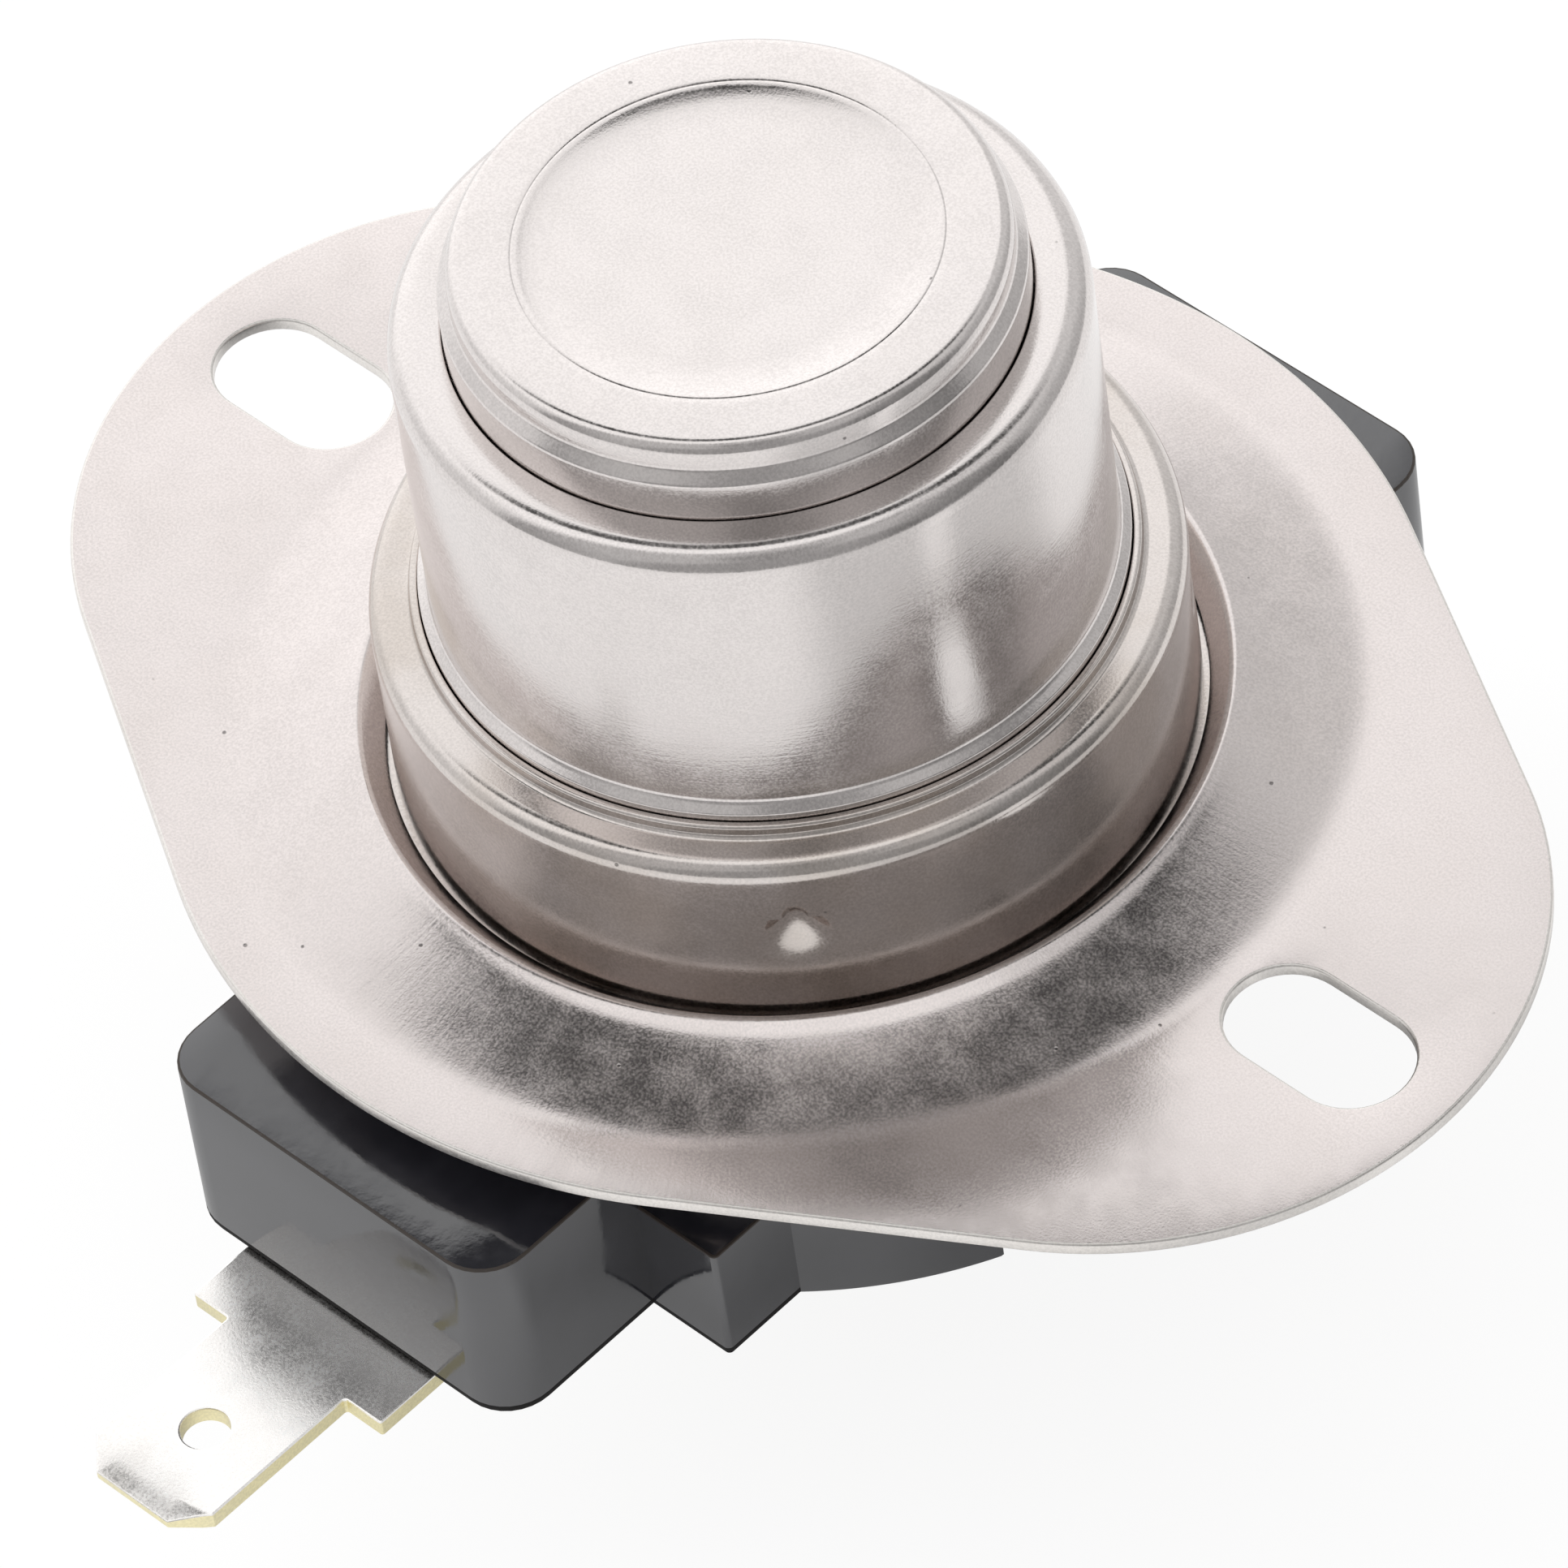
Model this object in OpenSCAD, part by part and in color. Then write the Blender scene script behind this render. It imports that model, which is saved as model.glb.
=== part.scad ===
// Snap-disc bimetal thermostat with an air-stream mounting flange.
// Z runs up through the sensing cap, X along the line of the two slots, Y along the terminals.
// The origin is where the axis meets the top face of the flange, the face that goes against a duct wall.

/* [Mounting flange] */
// Thickness of the flange sheet
flange_t = 0.55; // [0.45:0.05:0.7]
// Radius of the two long sides, about the axis
flange_side_r = 24.8; // [24:0.1:27]
// Radius of the two rounded ends
flange_end_r = 16.4; // [15.5:0.1:17.5]
// Distance of each end's centre from the axis
flange_end_x = 16.65; // [16:0.05:18]
// Distance between the centres of the two slots
slot_pitch = 53.7; // [53.2:0.1:54.2]
// Width of a slot
slot_w = 4.85; // [4:0.05:5.2]
// Length of a slot from end to end
slot_len = 8.1; // [6.5:0.1:8.6]
// Height of the hub's crest above the flange
hub_rise = 0.85; // [0.7:0.05:1]
// How far the hub's foot lies outside the round body of the switch base
hub_over = 1.5; // [1.2:0.1:1.8]
// Radius of the rolled-in edge of the hub's hole, on its upper side
hub_curl_r = 1.5; // [1.3:0.05:1.7]
// Gap between the hub's hole and the collar
hub_gap = 0.25; // [0.1:0.05:0.35]

/* [Collar] */
// Sheet thickness of the collar and the sleeve
cup_t = 0.5; // [0.4:0.05:0.6]
// Outer radius of the collar
collar_r = 15.6; // [15.5:0.1:15.9]
// Height of the collar's top above the flange
collar_h = 8.1; // [7.6:0.1:9]
// Radius of the collar's top bend
collar_bend_r = 0.75; // [0.6:0.05:0.9]
// Height of the upturned lip round the collar's hole
collar_lip_h = 0.55; // [0.3:0.05:0.8]
// Sheet thickness of that drawn lip
collar_lip_t = 0.3; // [0.2:0.05:0.4]
// How far the collar's foot, under the flange hub, stops short of the base's round side
collar_foot_inset = 0.2; // [0.1:0.05:1]
// Number of stakes that lock the collar to the base
stake_count = 4; // [3:1:6]
// Angle of the first stake from the X axis
stake_angle = -45; // [-60:1:-30]
// Height of the stakes above the flange
stake_z = 4.4; // [4:0.1:4.8]
// Depth of a stake
stake_depth = 0.55; // [0.3:0.05:0.7]
// Radius of the punch that makes a stake
stake_punch_r = 1.5; // [1.2:0.1:1.8]

/* [Sleeve] */
// Outer radius of the sleeve
sleeve_r = 13.17; // [13.05:0.01:13.3]
// Height of the sleeve's top above the flange
sleeve_h = 22.45; // [20:0.05:24]
// Radius of the sleeve's top bend
sleeve_bend_r = 0.95; // [0.8:0.05:1.1]
// Step of the sleeve's foot, outwards
sleeve_step = 0.4; // [0.3:0.05:0.5]
// Gap between nested metal cups where one passes through the next
nest_gap = 0.1; // [0.05:0.05:0.15]

/* [Disc cup] */
// Sheet thickness of the disc cup
cap_t = 0.4; // [0.3:0.05:0.45]
// Outer radius of the cup below its rim
cap_r = 10.55; // [10.4:0.05:10.6]
// Height of the rim above the sleeve's top
cap_stand = 3.3; // [3.1:0.05:3.6]
// Radius of the rim's outer bend
cap_bend_r = 1; // [0.8:0.05:1.1]
// Step of the cup's foot, outwards
cap_step = 0.45; // [0.3:0.05:0.5]
// Radius of the sharp ring where the recess begins
recess_r = 7.97; // [7.4:0.01:8.4]
// Depth of the recess in the cup's top
recess_depth = 0.2; // [0.1:0.05:0.3]
// Radius of the recess's blend
recess_blend_r = 9; // [6:0.5:12]

/* [Switch base] */
// Radius of the round body
body_r = 19.8; // [19.4:0.1:20.4]
// Width of the two wings
wing_w = 17.66; // [16.5:0.02:18.4]
// Length over both wings
wing_len = 53.6; // [52:0.1:56]
// Corner radius of the wings
wing_corner_r = 2.1; // [1.5:0.1:2.6]
// Gap between the flange and the wings' top
wing_gap = 2.5; // [2:0.1:3]
// Height of the wings
wing_h = 8.55; // [8.2:0.05:9]
// Width over the teeth beside the wings
tooth_w = 25.7; // [24.5:0.1:27]
// Length over the teeth
tooth_len = 38; // [37:0.1:39]
// Height of the teeth
tooth_h = 5.9; // [4.5:0.1:6.5]
// Width of the two notches that keep the round body clear of the slots
notch_w = 17.8; // [16:0.1:18.4]
// Height of the notches
notch_h = 7.1; // [6:0.1:8]
// Radius of the body inside the notches
notch_r = 16.2; // [15.2:0.1:17]
// Thickness of the floor under the contacts
floor_t = 3.6; // [3.2:0.1:4]
// Radius of the switch cavity
cavity_r = 12; // [11.8:0.05:12.2]

/* [Terminals and contacts] */
// Width of the tab
tab_w = 6.3; // [6:0.05:6.6]
// Thickness of the tab
tab_t = 0.8; // [0.7:0.05:0.9]
// Length of the terminal past the end of the wing
tab_out = 11.25; // [10:0.05:13]
// Width of the terminal's shoulder
shoulder_w = 10.1; // [9.4:0.1:10.8]
// Length of the shoulder past the end of the wing
shoulder_out = 2.87; // [2.5:0.01:3.5]
// Distance from the end of the wing to the rear terminal's bend
bend_out = 0.4; // [0.3:0.05:0.8]
// Inner radius of that bend
bend_r = 0.5; // [0.3:0.05:0.6]
// Sideways shift of each terminal, clockwise seen from above
terminal_shift = 0.4; // [0:0.05:0.5]
// Diameter of the tab's hole
tab_hole_d = 1.95; // [1.6:0.05:2.2]
// Distance of the rivets from the axis, along the terminals
rivet_y = 9.5; // [9.4:0.05:9.6]
// Sideways distance between the two rivets of a terminal
rivet_pitch = 5.2; // [4.6:0.1:5.4]
// Radius of a rivet's shank
rivet_r = 1.1; // [0.9:0.05:1.2]
// Radius of a rivet's factory head
rivet_head_r = 1.9; // [1.7:0.05:2]
// Thickness of the contact arm
arm_t = 0.3; // [0.2:0.05:0.4]
// Width of the arm's free end
arm_w = 5; // [4:0.1:6]
// Distance of the contacts from the axis
contact_y = 5.2; // [5:0.05:5.4]
// Radius of a contact button
contact_r = 1.4; // [1.2:0.05:1.5]
// Height of a contact button
contact_h = 0.7; // [0.5:0.05:0.8]
// Sheet thickness of the fixed contact's bracket
bracket_t = 0.6; // [0.5:0.05:0.7]

/* [Disc and pin] */
// Radius of the bimetal disc
disc_r = 9.5; // [9.3:0.05:9.7]
// Thickness of the bimetal disc
disc_t = 0.3; // [0.2:0.05:0.35]
// Rise of the disc's crown
disc_rise = 0.6; // [0.45:0.05:0.65]
// Radius of the transfer pin
pin_r = 1.55; // [1.2:0.05:1.8]
// Running clearance round the pin
pin_gap = 0.05; // [0.03:0.01:0.08]
// Free play at each end of the pin
pin_play = 0.05; // [0.02:0.01:0.1]

/* [Hidden] */
$fn = 96;
eps = 0.02;
arc_steps = 6;
steel = [0.77, 0.74, 0.72];
phenolic = [0.13, 0.13, 0.15];
tinned = [0.82, 0.80, 0.74];

// Radii and heights that the pieces share
hub_hole_r = collar_r + hub_gap;
curl_sweep = 65;
hub_crest_r = hub_hole_r + hub_curl_r * sin(curl_sweep);
hub_foot_r = body_r + hub_over;
hub_slope = hub_foot_r - hub_crest_r;
hub_tip_z = hub_rise - hub_curl_r + (hub_curl_r - flange_t) * cos(curl_sweep);
hub_dome_r = (hub_slope * hub_slope + hub_rise * hub_rise) / (2 * hub_rise);
collar_in_r = collar_r - cup_t;
sleeve_foot_r = sleeve_r + sleeve_step;
collar_hole_r = sleeve_foot_r + nest_gap;
sleeve_step_z = collar_h + collar_lip_h + 0.6;
sleeve_lip_z = collar_h - cup_t;
cap_foot_r = cap_r + cap_step;
sleeve_hole_r = cap_foot_r + nest_gap;
cap_top = sleeve_h + cap_stand;
cap_lip_z = sleeve_h - cup_t;
cap_step_z = cap_top - cap_bend_r - 0.15;
fit_gap = 0.1;
cap_lip_r = sleeve_r - sleeve_bend_r;
guide_r = sleeve_r - cup_t - fit_gap;

neck_r = collar_in_r - fit_gap;
neck_z = sleeve_lip_z - cup_t;
body_z = hub_tip_z - cup_t;
wing_z = -flange_t - wing_gap;
base_z = wing_z - wing_h;
floor_z = base_z + floor_t;
cover_t = 1.5;
cover_z = neck_z - 3;
cover_r = cavity_r + 1;
groove_r = collar_in_r - stake_depth - fit_gap;
groove_h = 2 * stake_punch_r + 0.8;

pad_h = 1.6;
arm_z = floor_z + pad_h;
pad_in_y = 7;
contact_top = arm_z + arm_t + contact_h;
contact_clear = 0.02;
bracket_z = contact_top + contact_clear + contact_h;
tab_z = base_z - tab_t;
tip_cut = 1.25;
tip_bevel_y = 0.95;
tip_bevel_z = 0.22;
detent_in = 4;
rivet_head_h = 0.7;
rivet_up_h = 0.6;
rivet_up_r = rivet_head_r - 0.2;
terminal_in_y = rivet_y - rivet_head_r - 1;

guide_top = cap_top - recess_depth - cap_t - 0.45 - disc_t - disc_rise - 0.6;
guide_rim_z = guide_top + 0.6;
guide_flange_t = 1.2;
guide_z = cap_lip_z - cap_t - guide_flange_t;
guide_boss_r = cap_foot_r - cap_t - fit_gap;
disc_z = guide_rim_z;
pin_top = disc_z + disc_rise - pin_play;
pin_bottom = arm_z + arm_t + pin_play;

// Points of an arc about [x, z], from angle a to angle b
function arc(x, z, r, a, b, n = arc_steps) =
  [for (i = [0 : n]) let (t = a + (b - a) * i / n) [x + r * cos(t), z + r * sin(t)]];

// Points in the other order
function back(p) = [for (i = [len(p) - 1 : -1 : 0]) p[i]];

// A sheet between an outer and an inner line, turned about Z
module turned(outer, inner) {
  rotate_extrude() polygon(concat(outer, back(inner)));
}

// Plan of a rectangle with rounded corners
module rounded_plan(x, y, r) {
  square([x, y - 2 * r], center = true);
  square([x - 2 * r, y], center = true);
  for (i = [-1, 1], j = [-1, 1]) translate([i * (x / 2 - r), j * (y / 2 - r)]) circle(r);
}

// Plan of the flange: a round middle and two rounded ends. The straight sides that join them lie a hair inside
// their common tangents, so that each side crosses the arcs cleanly
module flange_plan() {
  a = acos((flange_side_r - flange_end_r) / flange_end_x);
  mid = (flange_side_r - eps) * [cos(a), sin(a)];
  tip = (flange_end_r - eps) * [cos(a), sin(a)] + [flange_end_x, 0];
  circle(flange_side_r);
  for (s = [-1, 1]) translate([s * flange_end_x, 0]) circle(flange_end_r);
  polygon([tip, mid, [-mid.x, mid.y], [-tip.x, tip.y], -tip, -mid, [mid.x, -mid.y], [tip.x, -tip.y]]);
}

// Plan of one slot, which runs along X
module slot_plan() {
  square([slot_len - slot_w, slot_w], center = true);
  for (s = [-1, 1]) translate([s * (slot_len - slot_w) / 2, 0]) circle(slot_w / 2);
}

// Upper line of the hub: rolled edge, crest and domed slope. d is how deep below the upper side
function hub_line(d) = concat(
  arc(hub_crest_r, hub_rise - hub_curl_r, hub_curl_r - d, 90 + curl_sweep, 90),
  [for (i = [1 : 2 * arc_steps])
    let (t = asin(hub_slope / hub_dome_r) * i / (2 * arc_steps))
    [hub_crest_r + (hub_dome_r - d) * sin(t), hub_rise - hub_dome_r + (hub_dome_r - d) * cos(t)]]);

module mounting_flange() {
  reach = flange_end_x + flange_end_r + 1;
  deep = 5;
  color(steel) intersection() {
    turned(concat(hub_line(0), [[reach, 0]]),
      concat(hub_line(flange_t), [[hub_foot_r, -flange_t], [reach, -flange_t]]));
    translate([0, 0, -deep]) linear_extrude(2 * deep) difference() {
      flange_plan();
      for (s = [-1, 1]) translate([s * slot_pitch / 2, 0]) slot_plan();
    }
  }
}

// A stake's punch: a ball sunk into the collar's wall from outside. grow adds the sheet's thickness
module stake(grow) {
  for (i = [0 : stake_count - 1]) rotate(stake_angle + i * 360 / stake_count)
    translate([collar_r - stake_depth + stake_punch_r, 0, stake_z]) sphere(stake_punch_r + grow, $fn = 48);
}

module retaining_collar() {
  top_r = collar_r - collar_bend_r;
  lip_r = collar_hole_r + collar_lip_t;
  foot_r = body_r - collar_foot_inset;
  outer = concat(
    [[lip_r, collar_h + collar_lip_h], [lip_r, collar_h]],
    arc(top_r, collar_h - collar_bend_r, collar_bend_r, 90, 0),
    [[collar_r, hub_tip_z], [foot_r, hub_tip_z]]);
  inner = concat(
    [[collar_hole_r, collar_h + collar_lip_h], [collar_hole_r, collar_h - cup_t]],
    arc(top_r, collar_h - collar_bend_r, collar_bend_r - cup_t, 90, 0),
    [[collar_in_r, body_z], [foot_r, body_z]]);
  color(steel) difference() {
    union() {
      turned(outer, inner);
      intersection() {
        stake(cup_t);
        translate([0, 0, stake_z - groove_h / 2]) cylinder(r = collar_in_r + eps, h = groove_h);
      }
    }
    stake(0);
  }
}

module sensor_sleeve() {
  top_r = sleeve_r - sleeve_bend_r;
  lip_r = collar_r - collar_bend_r;
  outer = concat(
    [[sleeve_hole_r, sleeve_h]],
    arc(top_r, sleeve_h - sleeve_bend_r, sleeve_bend_r, 90, 0),
    [[sleeve_r, sleeve_step_z], [sleeve_foot_r, sleeve_step_z - sleeve_step], [sleeve_foot_r, sleeve_lip_z],
      [lip_r, sleeve_lip_z]]);
  inner = concat(
    [[sleeve_hole_r, sleeve_h - cup_t]],
    arc(top_r, sleeve_h - sleeve_bend_r, sleeve_bend_r - cup_t, 90, 0),
    [[sleeve_r - cup_t, sleeve_step_z - cup_t / 2], [sleeve_foot_r - cup_t, sleeve_step_z - sleeve_step - cup_t / 2],
      [sleeve_foot_r - cup_t, neck_z], [lip_r, neck_z]]);
  color(steel) turned(outer, inner);
}

module disc_cup() {
  sweep = acos(1 - recess_depth / recess_blend_r);
  floor_r = recess_r - recess_blend_r * sin(sweep);
  floor_top = cap_top - recess_depth;
  rim_r = cap_r - cap_bend_r;
  outer = concat(
    [[0, floor_top]],
    arc(floor_r, floor_top + recess_blend_r, recess_blend_r, -90, -90 + sweep),
    arc(rim_r, cap_top - cap_bend_r, cap_bend_r, 90, 0),
    [[cap_r, cap_step_z], [cap_foot_r, cap_step_z - cap_step], [cap_foot_r, cap_lip_z], [cap_lip_r, cap_lip_z]]);
  inner = concat(
    [[0, floor_top - cap_t]],
    arc(floor_r, floor_top + recess_blend_r, recess_blend_r + cap_t, -90, -90 + sweep),
    [[rim_r, cap_top - cap_t]],
    arc(rim_r, cap_top - cap_bend_r, cap_bend_r - cap_t, 90, 0),
    [[cap_r - cap_t, cap_step_z - cap_t / 2], [cap_foot_r - cap_t, cap_step_z - cap_step - cap_t / 2],
      [cap_foot_r - cap_t, cap_lip_z - cap_t], [cap_lip_r, cap_lip_z - cap_t]]);
  color(steel) turned(outer, inner);
}

// The dished disc rests on the guide's rim. Its crown is up when it is cool
module bimetal_disc() {
  dish_r = (disc_r * disc_r + disc_rise * disc_rise) / (2 * disc_rise);
  half = asin(disc_r / dish_r);
  cz = disc_z + disc_rise - dish_r;
  color([0.72, 0.66, 0.52]) turned(
    concat([[0, cz + dish_r + disc_t]], [for (i = [1 : arc_steps])
      [dish_r * sin(half * i / arc_steps), cz + dish_r * cos(half * i / arc_steps) + disc_t]]),
    concat([[0, cz + dish_r]], [for (i = [1 : arc_steps])
      [dish_r * sin(half * i / arc_steps), cz + dish_r * cos(half * i / arc_steps)]]));
}

// Moulded seat for the disc, clamped under the disc cup's lip, with a bore for the pin
module pin_guide() {
  color([0.42, 0.25, 0.15]) difference() {
    union() {
      translate([0, 0, guide_z]) cylinder(r = guide_r, h = guide_flange_t);
      translate([0, 0, guide_z]) cylinder(r = guide_boss_r, h = guide_top - guide_z);
      translate([0, 0, guide_z]) cylinder(r = disc_r + 0.3, h = guide_rim_z - guide_z);
    }
    translate([0, 0, guide_top]) cylinder(r = disc_r - 0.8, h = guide_rim_z);
    translate([0, 0, guide_z - 1]) cylinder(r = pin_r + pin_gap, h = guide_rim_z);
  }
}

// Insulating tube that carries the guide above the switch
module spacer_tube() {
  tube_r = 9;
  wall = 2.5;
  color([0.86, 0.83, 0.76]) translate([0, 0, cover_z + cover_t]) difference() {
    cylinder(r = tube_r, h = guide_z - cover_z - cover_t);
    translate([0, 0, -1]) cylinder(r = tube_r - wall, h = guide_z);
  }
}

// Ceramic pin with domed ends, between the disc and the contact arm
module transfer_pin() {
  dome_r = 2 * pin_r;
  dome_h = dome_r - sqrt(dome_r * dome_r - pin_r * pin_r);
  half = asin(pin_r / dome_r);
  color([0.93, 0.92, 0.88]) rotate_extrude() polygon(concat(
    [[0, pin_bottom]],
    [for (i = [1 : arc_steps]) let (t = half * i / arc_steps) [dome_r * sin(t), pin_bottom + dome_r * (1 - cos(t))]],
    back([for (i = [1 : arc_steps]) let (t = half * i / arc_steps) [dome_r * sin(t), pin_top - dome_r * (1 - cos(t))]]),
    [[0, pin_top]]));
}

// Insulating plate over the switch cavity, with a bore for the pin
module cavity_cover() {
  color([0.42, 0.25, 0.15]) translate([0, 0, cover_z]) difference() {
    cylinder(r = cover_r, h = cover_t);
    translate([0, 0, -1]) cylinder(r = pin_r + pin_gap, h = cover_t + 2);
  }
}

// Places its children at the two rivets of one terminal: side is -1 at the front and 1 at the rear
module at_rivets(side) {
  for (k = [-1, 1]) translate([k * rivet_pitch / 2, side * rivet_y, 0]) children();
}

module switch_base() {
  pad_w = rivet_pitch + 2 * rivet_head_r;
  color(phenolic) difference() {
    translate([0, 0, base_z]) {
      cylinder(r = body_r, h = body_z - base_z);
      cylinder(r = neck_r, h = neck_z - base_z);
      linear_extrude(wing_h) rounded_plan(wing_w, wing_len, wing_corner_r);
      linear_extrude(tooth_h) square([tooth_w, tooth_len], center = true);
    }
    difference() {
      translate([0, 0, floor_z]) cylinder(r = cavity_r, h = neck_z - floor_z + 1);
      for (s = [-1, 1]) translate([-pad_w / 2, s > 0 ? pad_in_y : -pad_in_y - cavity_r, floor_z - 1])
        cube([pad_w, cavity_r, pad_h + 1]);
    }
    translate([0, 0, cover_z]) cylinder(r = cover_r + fit_gap, h = neck_z);
    translate([0, 0, stake_z - groove_h / 2]) difference() {
      cylinder(r = neck_r + 1, h = groove_h);
      translate([0, 0, -1]) cylinder(r = groove_r, h = groove_h + 2);
    }
    translate([0, 0, base_z - 1]) difference() {
      translate([-body_r - 1, -notch_w / 2, 0]) cube([2 * body_r + 2, notch_w, notch_h + 1]);
      cylinder(r = notch_r, h = notch_h + 2);
    }
    for (s = [-1, 1]) translate([0, 0, base_z - 1]) at_rivets(s) cylinder(r = rivet_r, h = floor_t + pad_h + 2);
  }
}

// Plan of a terminal's riveted tail, up to a distance from the axis, with its tab along -Y
module tail_plan(end_y) {
  difference() {
    translate([-terminal_shift - shoulder_w / 2, -end_y]) square([shoulder_w, end_y - terminal_in_y]);
    at_rivets(-1) circle(rivet_r, $fn = 48);
  }
}

// Plan of a tab that runs down from y = 0, with its shoulder, detent hole and cut corners
module tab_plan(length, shoulder) {
  w = tab_w / 2;
  translate([-terminal_shift, 0]) difference() {
    polygon([[-shoulder_w / 2, 0], [-shoulder_w / 2, -shoulder], [-w, -shoulder], [-w, tip_cut - length],
      [tip_cut - w, -length], [w - tip_cut, -length], [w, tip_cut - length], [w, -shoulder],
      [shoulder_w / 2, -shoulder], [shoulder_w / 2, 0]]);
    translate([0, detent_in - length]) circle(tab_hole_d / 2, $fn = 48);
  }
}

// Wedges that bevel both faces of a tab's tip, for a tab whose middle plane is z = 0 and whose tip is at y = 0
module tip_wedges() {
  for (face = [0, 1]) mirror([0, 0, face]) translate([-tab_w, 0, 0]) rotate([90, 0, 90]) linear_extrude(2 * tab_w)
    polygon([[-1, tab_t / 2 - tip_bevel_z], [0, tab_t / 2 - tip_bevel_z], [tip_bevel_y, tab_t / 2],
      [tip_bevel_y, tab_t], [-1, tab_t]]);
}

// The front terminal is straight
module terminal_front() {
  wing_y = wing_len / 2;
  color(tinned) difference() {
    translate([0, 0, tab_z]) linear_extrude(tab_t) {
      tail_plan(wing_y);
      translate([0, -wing_y]) tab_plan(tab_out, shoulder_out);
    }
    translate([0, -wing_y - tab_out, tab_z + tab_t / 2]) tip_wedges();
  }
}

// The rear terminal is the same blank, bent down past the end of the wing
module terminal_rear() {
  bend_y = wing_len / 2 + bend_out;
  bend_z = tab_z - bend_r;
  outer_r = bend_r + tab_t;
  bend_length = (bend_r + tab_t / 2) * PI / 2;
  leg = tab_out - bend_out - bend_length;
  color(tinned) rotate(180) difference() {
    union() {
      translate([0, 0, tab_z]) linear_extrude(tab_t) tail_plan(bend_y);
      translate([-terminal_shift - shoulder_w / 2, -bend_y, bend_z]) rotate([90, 0, 90])
        linear_extrude(shoulder_w) intersection() {
          difference() {
            circle(outer_r);
            circle(bend_r);
          }
          translate([-outer_r, 0]) square(outer_r);
        }
      translate([0, -bend_y - bend_r, bend_z]) rotate([90, 0, 0]) linear_extrude(tab_t)
        tab_plan(leg, shoulder_out - bend_out - bend_length);
    }
    translate([0, -bend_y - bend_r - tab_t / 2, bend_z - leg]) rotate([90, 0, 0]) tip_wedges();
  }
}

// Spring blade that carries the moving contact and rests under the pin
module contact_arm() {
  root_w = rivet_pitch + 2 * rivet_head_r;
  root_y = rivet_y + rivet_head_r - 0.3;
  tip_y = contact_y + contact_r;
  color([0.80, 0.58, 0.34]) translate([0, 0, arm_z]) linear_extrude(arm_t) difference() {
    polygon([[-root_w / 2, -root_y], [root_w / 2, -root_y], [root_w / 2, -pad_in_y], [arm_w / 2, -pad_in_y + 2.5],
      [arm_w / 2, tip_y - 1], [arm_w / 2 - 1, tip_y], [1 - arm_w / 2, tip_y], [-arm_w / 2, tip_y - 1],
      [-arm_w / 2, -pad_in_y + 2.5], [-root_w / 2, -pad_in_y]]);
    at_rivets(-1) circle(rivet_r, $fn = 48);
    translate([0, contact_y]) circle(contact_r / 2, $fn = 48);
  }
}

// Silver button riveted through the arm's free end
module moving_contact() {
  color([0.88, 0.88, 0.86]) translate([0, contact_y, arm_z]) {
    translate([0, 0, arm_t]) cylinder(r = contact_r, h = contact_h);
    cylinder(r = contact_r / 2, h = arm_t);
    translate([0, 0, -0.3]) cylinder(r = contact_r * 0.75, h = 0.3);
  }
}

// Cranked strip that holds the fixed contact above the arm
module contact_bracket() {
  foot_w = rivet_pitch + 2 * rivet_head_r;
  reach_y = contact_y - contact_r - 0.3;
  riser_y = pad_in_y + 0.05;
  foot_end = rivet_y + rivet_head_r - 0.3;
  top = bracket_z + bracket_t;
  color([0.80, 0.66, 0.36]) difference() {
    rotate([90, 0, 90]) translate([0, 0, -foot_w / 2]) linear_extrude(foot_w) polygon([
      [foot_end, arm_z], [riser_y, arm_z], [riser_y, bracket_z], [reach_y, bracket_z], [reach_y, top],
      [riser_y + bracket_t, top], [riser_y + bracket_t, arm_z + bracket_t], [foot_end, arm_z + bracket_t]]);
    translate([0, 0, arm_z - 1]) at_rivets(1) cylinder(r = rivet_r, h = bracket_t + 2);
    translate([0, contact_y, bracket_z - 1]) cylinder(r = contact_r / 2, h = bracket_t + 2);
  }
}

// Silver button under the bracket
module fixed_contact() {
  color([0.88, 0.88, 0.86]) translate([0, contact_y, bracket_z]) {
    translate([0, 0, -contact_h]) cylinder(r = contact_r, h = contact_h);
    cylinder(r = contact_r / 2, h = bracket_t);
    translate([0, 0, bracket_t]) cylinder(r = contact_r * 0.75, h = 0.3);
  }
}

// Rivet through a terminal, the base's floor and a strip of thickness t
module rivet(t, side, k) {
  top = arm_z + t;
  color([0.80, 0.70, 0.45]) translate([k * rivet_pitch / 2, side * rivet_y, 0]) {
    translate([0, 0, tab_z - rivet_head_h]) cylinder(r1 = rivet_head_r - 0.35, r2 = rivet_head_r, h = rivet_head_h);
    translate([0, 0, tab_z]) cylinder(r = rivet_r, h = top - tab_z);
    translate([0, 0, top]) cylinder(r1 = rivet_up_r, r2 = rivet_up_r - 0.3, h = rivet_up_h);
  }
}

module arm_rivet_left() { rivet(arm_t, -1, -1); }

module arm_rivet_right() { rivet(arm_t, -1, 1); }

module bracket_rivet_left() { rivet(bracket_t, 1, -1); }

module bracket_rivet_right() { rivet(bracket_t, 1, 1); }

mounting_flange();
retaining_collar();
sensor_sleeve();
disc_cup();
bimetal_disc();
pin_guide();
spacer_tube();
transfer_pin();
cavity_cover();
switch_base();
terminal_front();
terminal_rear();
contact_arm();
moving_contact();
contact_bracket();
fixed_contact();
arm_rivet_left();
arm_rivet_right();
bracket_rivet_left();
bracket_rivet_right();
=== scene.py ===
"""Looks of a snap-disc bimetal thermostat, laid out as an add-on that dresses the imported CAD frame."""

import math

import bmesh
import bpy
from bpy.props import FloatProperty, IntProperty, PointerProperty
from mathutils import Matrix, Vector


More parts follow.
